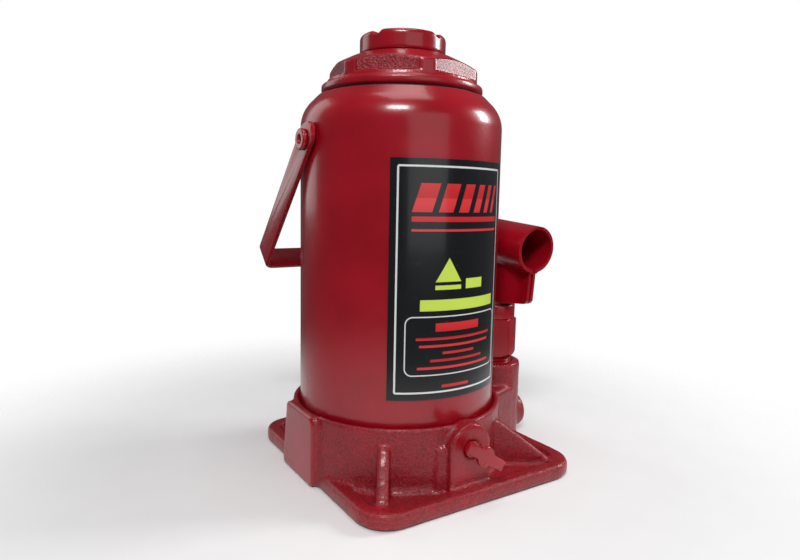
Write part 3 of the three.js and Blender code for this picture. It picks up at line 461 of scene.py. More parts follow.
def film_paint(name, colors):
    """A dark label film with plain printed bars and frames on it, in gloss ink."""
    material, place = new_material(name)
    low, high = box_mm("label")
    x, y, z = place.xyz()
    across = x.maths("ARCTAN2", x, 0 - y) * -low.y
    up = z / MM
    edge = 0.14

    def inside(value, start, end):
        """1 between two values, with soft ends."""
        return value.step(start - edge, start + edge) * (1 - value.step(end - edge, end + edge))

    def bar(left, right, foot, top, lean=0.0):
        """A plain printed block, upright or leaning."""
        slanted = across - (up - foot) * lean if lean else across
        return inside(slanted, left, right) * inside(up, foot, top)

    def outline(left, right, foot, top, corner, thickness):
        """A printed frame with rounded corners."""
        wide = (abs(across - (left + right) / 2) - ((right - left) / 2 - corner)).most(0.0)
        tall = (abs(up - (foot + top) / 2) - ((top - foot) / 2 - corner)).most(0.0)
        off = abs((wide * wide + tall * tall).root() - corner)
        return 1 - off.step(thickness / 2 - edge, thickness / 2 + edge)

    border = outline(5 - 44.2, 44.2 - 5, low.z + 4.4, high.z - 4.4, 0.9, 1.1)
    notice = outline(-33.5, 37.6, 77.5, 112.5, 4.5, 0.7)
    emblem = bar(-31.0, 36.0, 168.0, 171.0)
    for start, length in ((-31.0, 12.0), (-15.0, 9.5), (-1.5, 7.5), (10.0, 5.5), (19.5, 4.0), (27.5, 3.0)):
        emblem = emblem.most(bar(start, start + length, 173.5, 190.0, 0.32))
    red = emblem.most(bar(-31.0, 36.0, 162.4, 163.8)).most(bar(-15.0, 18.0, 103.6, 108.6))
    for foot, half in ((98.6, 29.0), (94.2, 27.0), (89.8, 12.0), (85.4, 20.0), (81.0, 28.0)):
        red = red.most(bar(2 - half, 2 + half, foot, foot + 1.5))
    red = red.most(bar(-10.0, 10.0, 69.4, 71.2))
    lift = inside(up, 133.0, 147.0) * (1 - (abs(across + 7.0) + (up - 133.0) * 0.62).step(8.6, 8.9))
    green = lift.most(bar(-15.8, 1.8, 128.4, 131.0)).most(bar(5.5, 20.0, 128.4, 134.4))
    green = green.most(bar(-25.0, 34.0, 116.0, 122.6))
    glow = up.maths("FRACT", up / 16.5)
    ink = glow.step(0.1, 0.9).mixed(colors.label_red, [min(1.0, c * 1.25 + 0.02) for c in colors.label_red])
    tone = red.mixed(colors.label_black, ink)
    tone = green.mixed(tone, colors.label_green)
    tone = border.most(notice).mixed(tone, colors.label_white)
    dust = place.noise(1.1, 2.0).step(0.72, 0.8)
    tone = (dust * 0.12).mixed(tone, colors.label_white)
    wave = place.noise(14.0, 2.0)
    printed = red.most(green).most(border)
    surface(place, tone, 0.16 + wave * 0.1, printed * 0.25 + wave, depth=0.06, Coat_Weight=0.3,
            Coat_Roughness=0.08)
    return material


FINISHES = {
    "cast_paint": cast_paint,
    "smooth_paint": smooth_paint,
    "label_film": film_paint,
    "rubber": lambda name, colors: plain_rubber(name, list(colors.rubber)),
    "ram_chrome": lambda name, colors: machined(name, list(colors.chrome), 0.1, (1, 1, 30), 0.5),
    "machined_steel": lambda name, colors: machined(name, list(colors.steel), 0.28, (1, 1, 6)),
    "spring_steel": lambda name, colors: machined(name, list(colors.dark_steel), 0.35),
    "copper": lambda name, colors: machined(name, list(colors.copper), 0.3),
    "brass_mesh": lambda name, colors: machined(name, list(colors.brass), 0.35, (6, 6, 6)),
}


def finish_of(slot):
    """The material for one of the record's slots, made when it's first asked for."""
    colors = bpy.context.scene.jack_colors
    name = "jack_" + slot
    return bpy.data.materials.get(name) or FINISHES[slot](name, colors)


# ------------------------------------------------------------------ base and reservoir


def base_plate():
    """The plate with its raised rim and the tray inside it."""
    half = box_mm("base_casting")[1].y
    left, right = PLATE["left"], PLATE["right"]

    def outline(inset, corner):
        sides = [(left + inset, inset - half), (right - inset, inset - half),
                 (right - inset, half - inset), (left + inset, half - inset)]
        return [(*side, corner) for side in sides]

    body = plate("base_casting_full", outline(0, PLATE["corner"]), "Z", 0, PLATE["rim_height"], 10)
    soften(body, 2.4, 3, 60)
    inset = PLATE["rim_width"]
    tray = plate("tray", outline(inset, PLATE["corner"] - inset / 2), "Z", PLATE["tray"], 14, 8)
    return combine(body, "DIFFERENCE", tray)


def base_ribs():
    """The four webs from the collar to the corners of the plate, with rounded crests."""
    half = box_mm("base_casting")[1].y
    ribs = []
    for side in (-1, 1):
        for start, end in (((-43.6, 55.9), (PLATE["left"] + 14, half - 14)),
                           ((43.2, 56.2), (PLATE["right"] - 17, half - 14))):
            run = Vector((end[0] - start[0], side * (end[1] - start[1])))
            top = 37.0
            web = plate("rib", [(-20, 1), (run.length + 5, 1), (run.length + 5, 8.8, 1),
                                (run.length, 10.2, 2), (2.5, top - 1.4, 4), (-2, top, 3),
                                (-20, top)], "Y", -3.6, 3.6)
            soften(web, 2.6, 3, 40)
            heading = math.degrees(math.atan2(run.y, run.x))
            ribs.append(placed(web, "Z", heading, (start[0], side * start[1], 0)))
    return ribs


def clamping_face():
    """The flat face on the side away from the pump, and the cheek behind it."""
    face_x = box_mm("base_casting")[0].x
    front, rear_top, rear_foot, top = -17, 24, 31, 45.3
    pad = plate("pad", [(front + 2, 0, 1), (rear_foot - 2, 0, 1), (rear_foot, 3, 2),
                        (rear_top, top, 3), (front, top, 4), (front, 3, 2)], "X", face_x, -50)
    soften(pad, 1.6, 3, 50)
    cheek = plate("cheek", [(front - 4, 0), (rear_foot, 0), (rear_top, top, 4),
                            (front - 4, top - 2, 6)], "X", face_x + 4, -50)
    soften(cheek, 1.5, 2, 50)
    return [pad, cheek]


def valve_boss():
    """The arched boss round the release valve, and the shoulder behind it."""
    middle = middle_mm("release_valve_stem")
    half, front, foot = 15.5, -77.5, 5.5
    left, right, centre = middle.x - half, middle.x + half, middle.z
    crown = [(x, z) for x, z in arc((middle.x, centre), half, 0, 180, 24)]
    arch = plate("arch", [(left, foot), (right, foot), *crown], "Y", front, -55)
    soften(arch, 1.8, 3, 50)
    shoulder = plate("shoulder", [(left - 7, foot), (right + 3, foot), (right + 2, centre, 4),
                                  (left - 5, centre + 4, 5)], "Y", -72.6, -55)
    soften(shoulder, 2.0, 2, 50)
    return [arch, shoulder]


def pump_tower():
    """The column under the pump, its web to the collar, the plug's nose and the link's lugs."""
    high = box_mm("base_casting")[1]
    at = middle_mm("pump_cylinder")
    radius, top, ledge = 20.3, high.z, 43.0
    foot_pin = middle_mm("link_foot_pin")
    column = turned("column", [(0, 0), (radius, 0), (radius, top, 2.6), (0, top)], at=(at.x, 0, 0))
    web = plate("web", [(40, -36), (at.x + 6, -radius + 0.6, 6), (at.x + 6, radius - 0.6, 6),
                        (40, 21.4)], "Z", 1, ledge)
    soften(web, 2.4, 3, 50)
    plug = middle_mm("gallery_plug")
    nose = turned("nose", [(0, at.x), (13.5, at.x), (13.5, high.x, 2.2), (0, high.x)], "X",
                  at=(0, 0, plug.z))
    pieces = [column, web, nose]
    for side in (-1, 1):
        faces = sorted((at.x + side * 6.5, at.x + side * 13))
        head = arc((foot_pin.y, foot_pin.z), 9, -27, 180, 20)
        lug = plate("lug", [*head, (12, foot_pin.z - 6, 2), (12, 12.6), (18, 12.6)], "X", *faces)
        soften(lug, 0.9, 2, 50)
        pieces.append(lug)
    return pieces


def base_hollows():
    """What is cut out of the casting: seats, bores and the slot for the link."""
    reservoir, cylinder = box_mm("reservoir_tube")[1].x, box_mm("pressure_cylinder")[1].x
    pump, pin = middle_mm("pump_cylinder"), middle_mm("link_foot_pin")
    valve, plug = middle_mm("release_valve_stem"), middle_mm("gallery_plug")
    safety, inlet = middle_mm("safety_ball"), middle_mm("inlet_ball")
    return [
        rod("seat", reservoir + 0.3, 42, 60, steps=160),
        rod("cylinder_seat", cylinder + 0.3, 22, 43, steps=96),
        rod("pump_bore", 14.3, 27.5, 62, at=(pump.x, 0, 0)),
        rod("plug_bore", 5.9, 97, 115, "X", at=(0, 0, plug.z)),
        rod("gallery", 4.2, 36, 98, "X", at=(0, 0, plug.z)),
        rod("valve_bore", 5.3, -80, -52, "Y", at=(valve.x, 0, valve.z)),
        rod("safety_bore", 4.6, 23, 43, at=(safety.x, 0, 0)),
        rod("inlet_bore", 4.0, 24, 43, at=(inlet.x, 0, 0)),
        rod("pin_hole", 4.3, pump.x - 30, pump.x + 30, "X", at=(0, pin.y, pin.z)),
        block("link_slot", (pump.x - 6.5, pin.y - 9, pin.z - 9.5), (pump.x + 6.5, pin.y + 20, 62)),
    ]


def machined_or_cast(place, normal):
    """1 on the rough skin of the base and 0 on its machined and flat faces."""
    low, high = box_mm("base_casting")
    if place.x < low.x + 1.2 or place.z < 0.8 or place.z > high.z - 0.8 or place.x > high.x - 0.8:
        return 0.0
    if math.hypot(place.x, place.y) < 67.5:
        return 0.0
    on_boss = place.y < -76.8 and abs(place.x - 5.5) < 15 and place.z > 14
    return 0.35 if on_boss else 1.0


def build_base(sizes):
    """The base casting: one skin over plate, collar, ribs, clamping face, boss and pump tower."""
    collar = turned("collar", [(0, 1), (82, 1), (82, 5.2, 1), (COLLAR["radius"], 6.4, 7),
                               (COLLAR["radius"], COLLAR["top"], 2.4),
                               (COLLAR["radius"] - 2.6, COLLAR["top"], 0.6),
                               (COLLAR["radius"] - 3.2, COLLAR["top"] - 1.6, 0.6),
                               (60, COLLAR["top"] - 1.6), (60, 30), (0, 30)], steps=180)
    trim = plate("trim", [(PLATE["left"] + 1, -84, 18), (PLATE["right"] - 1, -84, 18),
                          (PLATE["right"] - 1, 84, 18), (PLATE["left"] + 1, 84, 18)],
                 "Z", -1, 60, 8)
    combine(collar, "INTERSECT", trim)
    base = base_plate()
    combine(base, "UNION", collar, *base_ribs(), *clamping_face(), *valve_boss(), *pump_tower())
    combine(base, "DIFFERENCE", *base_hollows())
    cast(base, sizes.casting_voxel / MM, 5)
    mark(base, "cast", machined_or_cast)
    ripple(base, 7.0, sizes.casting_relief / MM, "cast")
    finished(base, "base", "cast_paint", "base_casting", angle=180)


def build_reservoir(sizes):
    """The reservoir tube, drawn in at its shoulder, with the hole for its filler plug."""
    low, high = box_mm("reservoir_tube")
    radius, wall, bend = high.x, 3.2, sizes.shoulder_radius / MM
    shoulder, centre = 225.5, high.x - bend
    outer = arc((centre, shoulder), bend, 0, 45, 16)
    inner = arc((centre, shoulder), bend - wall, 45, 0, 10)
    neck = [(outer[-1][0] - (high.z - outer[-1][1]), high.z),
            (inner[0][0] - (high.z - inner[0][1]), high.z)]
    tube = turned("reservoir_shell", [(radius - wall, low.z), (radius, low.z, 0.5), *outer, *neck,
                                      *inner], steps=sizes.fine_steps)
    plug = middle_mm("filler_plug")
    heading = math.degrees(math.atan2(plug.y, plug.x))
    hole = rod("hole", 6.3, radius - 8, radius + 4, "X")
    combine(tube, "DIFFERENCE", placed(hole, "Z", heading, (0, 0, plug.z)))
    finished(tube, "base", "smooth_paint", "reservoir_tube")


def build_label(sizes):
    """The label film, wrapped round the front of the reservoir."""
    low, high = box_mm("label")
    outer = -low.y
    half = math.degrees(math.asin(high.x / outer))
    inner = outer - 0.28
    edge = [(x, y) for x, y in arc((0, 0), outer, -90 - half, -90 + half, 64)]
    back = [(x, y) for x, y in arc((0, 0), inner, -90 + half, -90 - half, 64)]
    film = plate("label_film_sheet", edge + back, "Z", low.z, high.z)
    finished(film, "base", "label_film", "label")


def build_filler_plug(sizes):
    """The rubber plug in the rear of the reservoir, with a domed head and a grip rib."""
    reach = box_mm("reservoir_tube")[1].x + 0.3
    plug = turned("filler_plug_moulded", [
        (0, -7), (4.6, -7, 0.8), (5.4, -4.8, 0.8), (6.2, -3.8, 0.4), (5.9, -3.0, 0.3), (5.9, 0, 0.3),
        (9, 0, 0.6), (9, 1.4, 1.0), (7.6, 2.7, 1.0), (3.2, 3.2, 0.6), (2.6, 2.6, 0.4), (0, 2.6)],
        "X", steps=64)
    middle = middle_mm("filler_plug")
    heading = math.atan2(middle.y, middle.x)
    at = (reach * math.cos(heading), reach * math.sin(heading), middle.z)
    placed(plug, "Z", math.degrees(heading), at)
    finished(plug, "filler_plug", "rubber", "filler_plug")


# ------------------------------------------------------------------ top nut, ram and screw


def nut_roughness(place, normal):
    """1 on the rough hexagon faces, and near 0 on what the lathe has turned."""
    radius = math.hypot(place.x, place.y)
    on_flat = 255.9 < place.z < 265.5 and radius < 48.2 and abs(normal.z) < 0.35
    return 1.0 if on_flat and radius > 42 else 0.12


def build_top_nut(sizes):
    """The top nut: flange, hexagon with turned corners, and a cone up to the ram."""
    low, high = box_mm("top_nut")
    bore = box_mm("ram")[1].x + 0.5
    flange, hexagon, turned_radius, flats = high.x, 255.8, 49.1, 88.4
    body = turned("top_nut_cast", [
        (0, low.z), (49, low.z, 0.6), (49, 247.3, 0.4), (flange - 1.4, 247.3, 0.3),
        (flange - 1.4, 248.2, 0.3), (flange, 248.4, 0.7), (flange, 252.8, 1.2),
        (turned_radius, 252.8, 1.4), (turned_radius, hexagon), (0, hexagon)],
        steps=sizes.fine_steps)
    cone = turned("cone", [(0, hexagon - 1), (turned_radius, hexagon - 1),
                           (turned_radius, 263, 1), (35, 270.1, 2), (31, high.z, 1), (0, high.z)],
                  steps=sizes.fine_steps)
    corner = flats / math.sqrt(3)
    corners = [(corner * math.cos(math.radians(60 * k - 104)),
                corner * math.sin(math.radians(60 * k - 104))) for k in range(6)]
    combine(cone, "INTERSECT", plate("hexagon", corners, "Z", hexagon - 1, high.z + 1))
    combine(body, "UNION", cone)
    hollows = [rod("cylinder_hole", 43, low.z - 1, 251.4, steps=96),
               rod("ram_hole", bore, low.z, high.z + 2, steps=128),
               rod("wiper_groove", bore + 3.2, 262, 267, steps=96)]
    combine(body, "DIFFERENCE", *hollows)
    cast(body, 0.75, 2)
    mark(body, "cast", nut_roughness)
    finished(body, "base", "cast_paint", "top_nut", angle=180)


def close_ends(piece):
    """Fills the two open ends of a swept piece."""
    select_only(piece)
    bpy.ops.object.mode_set(mode="EDIT")
    bpy.ops.mesh.select_all(action="SELECT")
    bpy.ops.mesh.fill_holes(sides=0)
    bpy.ops.object.mode_set(mode="OBJECT")
    tidy_shell(piece)
    return piece


def thread(name, root, crest, pitch, foot, turns):
    """A helical ridge with closed ends, about the axis of the ram."""
    bite = 0.4
    section = [(root - bite, foot), (crest, foot + pitch * 0.3), (crest, foot + pitch * 0.52),
               (root - bite, foot + pitch * 0.82)]
    ridge = drawn(name, [Vector((x, 0, z)) for x, z in section + section[:1]], closed=False)
    tidy_shell(ridge)
    change(ridge, "SCREW", screw_offset=pitch * MM, iterations=turns, steps=40, render_steps=40,
           axis="Z", use_merge_vertices=False)
    return close_ends(ridge)


def build_screw(sizes):
    """The extension screw with its thread, and its crown with two crossed grooves."""
    low, high = box_mm("extension_screw")
    radius, foot = high.x, high.z - 12.5
    crown = turned("extension_screw_forged", [
        (0, foot), (radius - 1, foot, 0.5), (radius, foot + 1.4, 1), (radius, high.z, 2.6),
        (0, high.z)], steps=sizes.fine_steps)
    grooves = []
    for turn in (20, 110):
        groove = rod("groove", 4.2, -radius - 3, radius + 3, "X", steps=32)
        grooves.append(placed(groove, "Z", turn, (0, 0, high.z + 1.2)))
    combine(crown, "DIFFERENCE", *grooves)
    cast(crown, 0.6, 5)
    shaft = box_mm("screw_stop_ring")
    root, crest, pitch = 17.2, 18.9, sizes.thread_pitch / MM
    core = turned("core", [
        (0, low.z), (crest, low.z, 0.8), (crest, shaft[0].z - 0.3, 0.3), (14.4, shaft[0].z - 0.3),
        (14.4, shaft[1].z + 0.3), (root, shaft[1].z + 0.3), (root, foot + 2), (0, foot + 2)])
    turns = int((foot - shaft[1].z - 4) / pitch)
    combine(core, "UNION", thread("ridge", root, crest, pitch, shaft[1].z + 2, turns))
    combine(crown, "UNION", core)
    finished(crown, "extension_screw", "smooth_paint",
             "extension_screw", angle=40)


def build_ram(sizes):
    """The ram, its piston and seals, and the cylinder that they run in."""
    low, high = box_mm("ram")
    radius, bore, foot = high.x, 19.2, 112
    ram = turned("ram_ground", [
        (0, low.z), (16, low.z, 1), (16, 57.3), (radius, 57.3, 0.6), (radius, high.z, 1.2),
        (bore, high.z, 1.2), (bore, foot), (0, foot)], steps=sizes.fine_steps)
    finished(ram, "ram", "ram_chrome", "ram")
    rings = (
        ("pressure_cylinder", "base", "machined_steel", 42.7, 33, 1.0),
        ("cylinder_washer", "base", "copper", 42.7, 33, 0.5),
        ("cylinder_top_seal", "base", "rubber", 42.7, 34, 0.6),
        ("ram_wiper", "base", "rubber", 29.4, 26.3, 0.9),
        ("reservoir_foot_seal", "base", "rubber", 66.2, 63, 0.5),
        ("reservoir_neck_seal", "base", "rubber", 51.8, 49.6, 0.3),
        ("piston", "ram", "machined_steel", 32.5, 16.3, 0.9),
        ("screw_stop_ring", "screw_travel", "spring_steel", 18.6, 14.7, 0.6),
    )
    for node, body, slot, outer, inner, edge in rings:
        low, high = box_mm(node)
        ring = turned(node + "_ring", [(inner, low.z, edge), (outer, low.z, edge),
                                       (outer, high.z, edge), (inner, high.z, edge)], steps=128)
        finished(ring, body, slot, node)
    low, high = box_mm("piston_seal")
    lip = turned("piston_cup", [
        (16.3, low.z + 2.4, 0.4), (29.5, low.z + 2.4, 1.2), (31.2, low.z, 0.5), (32.7, low.z, 0.3),
        (32.7, high.z, 0.8), (16.3, high.z, 0.4)], steps=128)
    finished(lip, "ram", "rubber", "piston_seal")
    low, high = box_mm("ram_end_nut")
    across = 48 / math.sqrt(3)
    corners = [(across * math.cos(k * math.pi / 3), across * math.sin(k * math.pi / 3))
               for k in range(6)]
    nut = turned("ram_nut", [(0, low.z), (25, low.z), (across, low.z + 1.6), (across, high.z - 1.6),
                             (25, high.z), (0, high.z)])
    combine(nut, "INTERSECT", plate("nut_hexagon", corners, "Z", low.z - 1, high.z + 1))
    combine(nut, "DIFFERENCE", rod("nut_hole", 16.3, low.z - 1, high.z + 1))
    soften(nut, 0.3, 2)
    finished(nut, "ram", "machined_steel", "ram_end_nut")


# ------------------------------------------------------------------ pump


def build_pump(sizes):
    """The pump cylinder with its thread and hexagon, the gland nut, the seal and the plunger."""
    low, high = box_mm("pump_cylinder")
    x = (low.x + high.x) / 2
    at, neck, hexagon, flats = (x, 0, 0), 14.0, 64.0, 30.0
    corner = flats / math.sqrt(3)
    body = turned("pump_body", [
        (0, hexagon), (flats / 2 - 0.2, hexagon), (corner - 0.4, hexagon + 2.2),
        (corner - 0.4, high.z - 0.9), (flats / 2 + 0.6, high.z), (0, high.z)], at=at)
    corners = [(x + corner * math.cos(math.radians(60 * k + 30)),
                corner * math.sin(math.radians(60 * k + 30))) for k in range(6)]
    combine(body, "INTERSECT", plate("pump_hexagon", corners, "Z", hexagon - 1, high.z + 1))
    pitch, root = 1.8, neck - 1.1
    ridges = [point for k in range(int((hexagon - low.z) / pitch))
              for point in ((root, low.z + pitch * k + 0.3), (neck, low.z + pitch * (k + 0.6)))]
    stem = turned("stem", [(0, low.z), (root, low.z), *ridges, (root, hexagon - 0.3),
                           (root, hexagon + 1.1), (0, hexagon + 1.1)], at=at, steps=72)
    combine(body, "UNION", stem)
    bore = [(0, low.z - 1), (6.3, low.z - 1), (6.3, 82.2), (9.9, 82.2), (9.9, high.z + 1),
            (0, high.z + 1)]
    combine(body, "DIFFERENCE", turned("bore", bore, at=at, steps=60))
    finished(body, "base", "smooth_paint", "pump_cylinder")

    low, high = box_mm("gland_nut")
    radius = (high.x - low.x) / 2
    gland = turned("gland_turned", [
        (6.3, low.z, 0.4), (9.6, low.z, 0.4), (9.6, 92.8), (radius, 92.8, 0.5),
        (radius, high.z, 1.6), (6.3, high.z, 0.6)], at=at)
    finished(gland, "base", "smooth_paint", "gland_nut")

    for node, slot, outer, inner in (("pump_washer", "copper", 14, 7), ("pump_seal", "rubber", 9.6, 6.3)):
        low, high = box_mm(node)
        ring = turned(node + "_ring", [(inner, low.z, 0.4), (outer, low.z, 0.4),
                                       (outer, high.z, 0.4), (inner, high.z, 0.4)], at=at)
        finished(ring, "base", slot, node)

    low, high = box_mm("pump_plunger")
    pin = middle_mm("plunger_pin")
    eye, play, half = 8.0, 2.2, 6.0
    shaft = turned("pump_plunger_ground", [(0, low.z), (6, low.z, 0.8), (6, pin.z - 5), (0, pin.z - 5)],
                   at=at)

    def slot_outline(radius):
        """A round eye lengthened across by the pin's play."""
        right = arc((play, pin.z), radius, -90, 90, 16)
        return right + arc((-play, pin.z), radius, 90, 270, 16)

    head = plate("head", slot_outline(eye), "X", x - half, x + half)
    soften(head, 0.8, 2, 50)
    combine(shaft, "UNION", head)
    combine(shaft, "DIFFERENCE", plate("eye", slot_outline(4.6), "X", x - half - 1, x + half + 1))
    finished(shaft, "plunger", "machined_steel", "pump_plunger")


def socket_section(gap, sheet, tube, depth):
    """Half of the bent sheet's middle line, from an ear's foot round to the top of the tube."""
    flare, across = 2.4, gap + sheet / 2
    drop = -math.sqrt((tube + flare) ** 2 - (across + flare) ** 2)
    ear = [(across, -depth + (drop + depth) * step / 7) for step in range(7)]
    lean = math.degrees(math.atan2(drop, across + flare))
    bend = arc((across + flare, drop), flare, 180, lean + 180, 5)
    return ear + bend + arc((0, 0), tube, lean, 90, 20)[1:]


def socket_frame():
    """The turn and place of the handle socket, whose own frame has its mouth at the origin."""
    return Matrix.Translation(Vector((88, -41.5, 147)) * MM) @ Matrix.Rotation(math.radians(5), 4, "X")


def build_socket(sizes):
    """The handle socket: one sheet rolled to a tube, with its two ends turned down as ears."""
    sheet, length, outer = sizes.sheet / MM, 80.0, 16.5
    tube = outer - sheet / 2
    to_own = socket_frame().inverted()
    own_pins = [(to_own @ (middle_mm(node) * MM)) / MM for node in ("plunger_pin", "link_top_pin")]
    plunger, link = own_pins
    stations = 41
    rows = []
    for station in range(stations):
        along = length * station / (stations - 1)
        share = min(max((along - 8) / 18, 0), 1)
        gap = 0.8 + 5.7 * share * share * (3 - 2 * share)
        half = socket_section(gap, sheet, tube, 50.0)
        points = half + [(-px, pz) for px, pz in reversed(half[:-1])]
        rows += [Vector((px, along, pz)) for px, pz in points]
    count = len(rows) // stations
    bpy.ops.object.select_all(action="DESELECT")
    bpy.ops.mesh.primitive_grid_add(x_subdivisions=count - 1, y_subdivisions=stations - 1, size=MM)
    piece = bpy.context.object
    piece.name = piece.data.name = "handle_socket_pressed"
    for vertex, point in zip(piece.data.vertices, rows):
        vertex.co = point * MM
    tidy_shell(piece)
    change(piece, "SOLIDIFY", thickness=sheet * MM, offset=0.0, use_even_offset=True)
    tidy_shell(piece)
    rear = link.y + 10
    side = [(-2, 30), (-2, -outer - 0.6), (1.4, -outer - 0.6), (1.4, -37.5, 1.5), (3.4, -39.8, 2),
            (8, -40.8, 3), (plunger.y - 4, -45.4, 3), (plunger.y + 10, -45.4, 4), (rear - 2, -36, 4),
            (rear, -32, 2), (rear, -outer - 0.6), (length + 2, -outer - 0.6), (length + 2, 30)]
    combine(piece, "INTERSECT", plate("side", side, "X", -30, 30))
    notch = plate("notch", [(-3.6, outer - 6), (3.6, outer - 6), (3.0, outer + 4), (-3.0, outer + 4)],
                  "Y", -3, 1.6)
    holes = [rod("hole", 4.3, -30, 30, "X", at=(0, pin.y, pin.z)) for pin in own_pins]
    combine(piece, "DIFFERENCE", notch, *holes)
    soften(piece, 0.35, 2, 50)
    move(piece, socket_frame())
    finished(piece, "socket", "smooth_paint", "handle_socket")

    stop = turned("socket_stop_plate", [(0, length - 9), (13.9, length - 9, 0.5),
                                        (13.9, length - 6, 0.5), (0, length - 6)], "Y")
    combine(stop, "DIFFERENCE", block("seam", (-6.8, 0, -20), (6.8, length, -9)))
    move(stop, socket_frame())
    finished(stop, "socket", "machined_steel", "socket_stop")


def build_linkage(sizes):
    """The fulcrum link, and the three headed pins with their snap rings."""
    foot, top = middle_mm("link_foot_pin"), middle_mm("link_top_pin")
    eye, half_width, half = 8.0, 7.0, 6.0
    run = math.degrees(math.atan2(top.z - foot.z, top.y - foot.y))
    spread = math.degrees(math.asin(half_width / eye))
    upper = arc((top.y, top.z), eye, run - 180 + spread, run + 180 - spread, 28)
    lower = arc((foot.y, foot.z), eye, run + spread, run - spread + 360, 28)
    x = middle_mm("fulcrum_link").x
    link = plate("fulcrum_link_forged", upper + lower, "X", x - half, x + half)
    soften(link, 1.2, 3, 50)
    combine(link, "DIFFERENCE", *[rod("hole", 4.3, x - 10, x + 10, "X", at=(0, p.y, p.z))
                                  for p in (foot, top)])
    finished(link, "fulcrum_link", "smooth_paint", "fulcrum_link")
    for node, body in (("link_foot_pin", "base"), ("link_top_pin", "socket"), ("plunger_pin", "socket")):
        low, high = box_mm(node)
        at = (0, (low.y + high.y) / 2, (low.z + high.z) / 2)
        ring_low, ring_high = box_mm(node + "_ring")
        groove = (ring_low.x - 0.3, ring_high.x + 0.3)
        pin = turned(node + "_turned", [
            (0, low.x), (6, low.x, 0.7), (6, low.x + 2.4, 0.4), (4, low.x + 2.4), (4, groove[0]),
            (3, groove[0]), (3, groove[1]), (4, groove[1]), (4, high.x, 0.8), (0, high.x)],
            "X", at, 64)
        finished(pin, body, "machined_steel", node)
        ring = turned(node + "_snap_ring", [
            (3.3, ring_low.x, 0.3), (6.2, ring_low.x, 0.3), (6.2, ring_high.x, 0.3),
            (3.3, ring_high.x, 0.3)], "X", at, 64)
        gap = block("gap", (ring_low.x - 1, at[1] - 1.2, at[2] - 8), (ring_high.x + 1, at[1] + 1.2, at[2]))
        combine(ring, "DIFFERENCE", gap)
        finished(ring, body, "spring_steel", node + "_ring")


# ------------------------------------------------------------------ valves


def build_release_valve(sizes):
    """The release valve: a stem with its sealing ring, and a key with two flat arms."""
    low, high = box_mm("release_valve_stem")
    x, z = (low.x + high.x) / 2, (low.z + high.z) / 2
    at, radius = (x, 0, z), (high.x - low.x) / 2
    ring_low, ring_high = box_mm("release_valve_ring")
    stem = turned("release_valve_stem_turned", [
        (0, low.y), (radius - 1.5, low.y, 0.5), (radius - 1.5, -78.5), (radius, -78.5, 0.4),
        (radius, ring_low.y - 0.3), (3.4, ring_low.y - 0.3), (3.4, ring_high.y + 0.3),
        (radius, ring_high.y + 0.3), (radius, high.y - 4, 0.5), (1.4, high.y), (0, high.y)],
        "Y", at, 64)
    finished(stem, "release_valve", "smooth_paint", "release_valve_stem")
    seal = turned("release_valve_o_ring", [
        (3.7, ring_low.y, 0.7), (5.15, ring_low.y, 0.7), (5.15, ring_high.y, 0.7),
        (3.7, ring_high.y, 0.7)], "Y", at, 64)
    finished(seal, "valve_travel", "rubber", "release_valve_ring")
    low, high = box_mm("release_valve_key")
    length, width, angle = 16.0, 3.3, math.radians(-33)
    arms = plate("release_valve_key_pressed", [
        (-length, -width, 1), (length, -width, 0.6), (length, width, 0.6), (-length, width, 1)],
        "Y", low.y, high.y)
    soften(arms, 0.5, 2, 50)
    move(arms, Matrix.Rotation(-angle, 4, "Y"))
    disc = turned("disc", [(0, low.y), (6.2, low.y, 0.8), (6.2, high.y, 0.6), (0, high.y)], "Y", steps=64)
    peg = turned("peg", [(0, low.y - 0.3), (1.7, low.y - 0.3, 0.6), (1.7, high.y), (0, high.y)], "Y",
                 at=(-1.4, 0, -4.6), steps=32)
    combine(arms, "UNION", disc, peg)
    placed(arms, "Y", 0, (x, 0, z))
    finished(arms, "release_valve", "smooth_paint", "release_valve_key")


def coil(name, radius, wire, foot, top, turns):
    """A closed coil spring along +Z, swept from a round wire."""
    steps = 24
    bpy.ops.object.select_all(action="DESELECT")
    bpy.ops.mesh.primitive_circle_add(vertices=10, radius=wire * MM, location=(0, 0, 0),
                                      rotation=(math.pi / 2, 0, 0))
    piece = bpy.context.object
    piece.name = piece.data.name = name
    bpy.ops.object.transform_apply(location=True, rotation=True, scale=True)
    move(piece, Matrix.Translation(Vector((radius, 0, foot + wire)) * MM))
    rise = (top - foot - 2 * wire) / turns * MM
    change(piece, "SCREW", screw_offset=rise, iterations=turns, steps=steps, render_steps=steps, axis="Z",
           use_merge_vertices=False)
    return close_ends(piece)


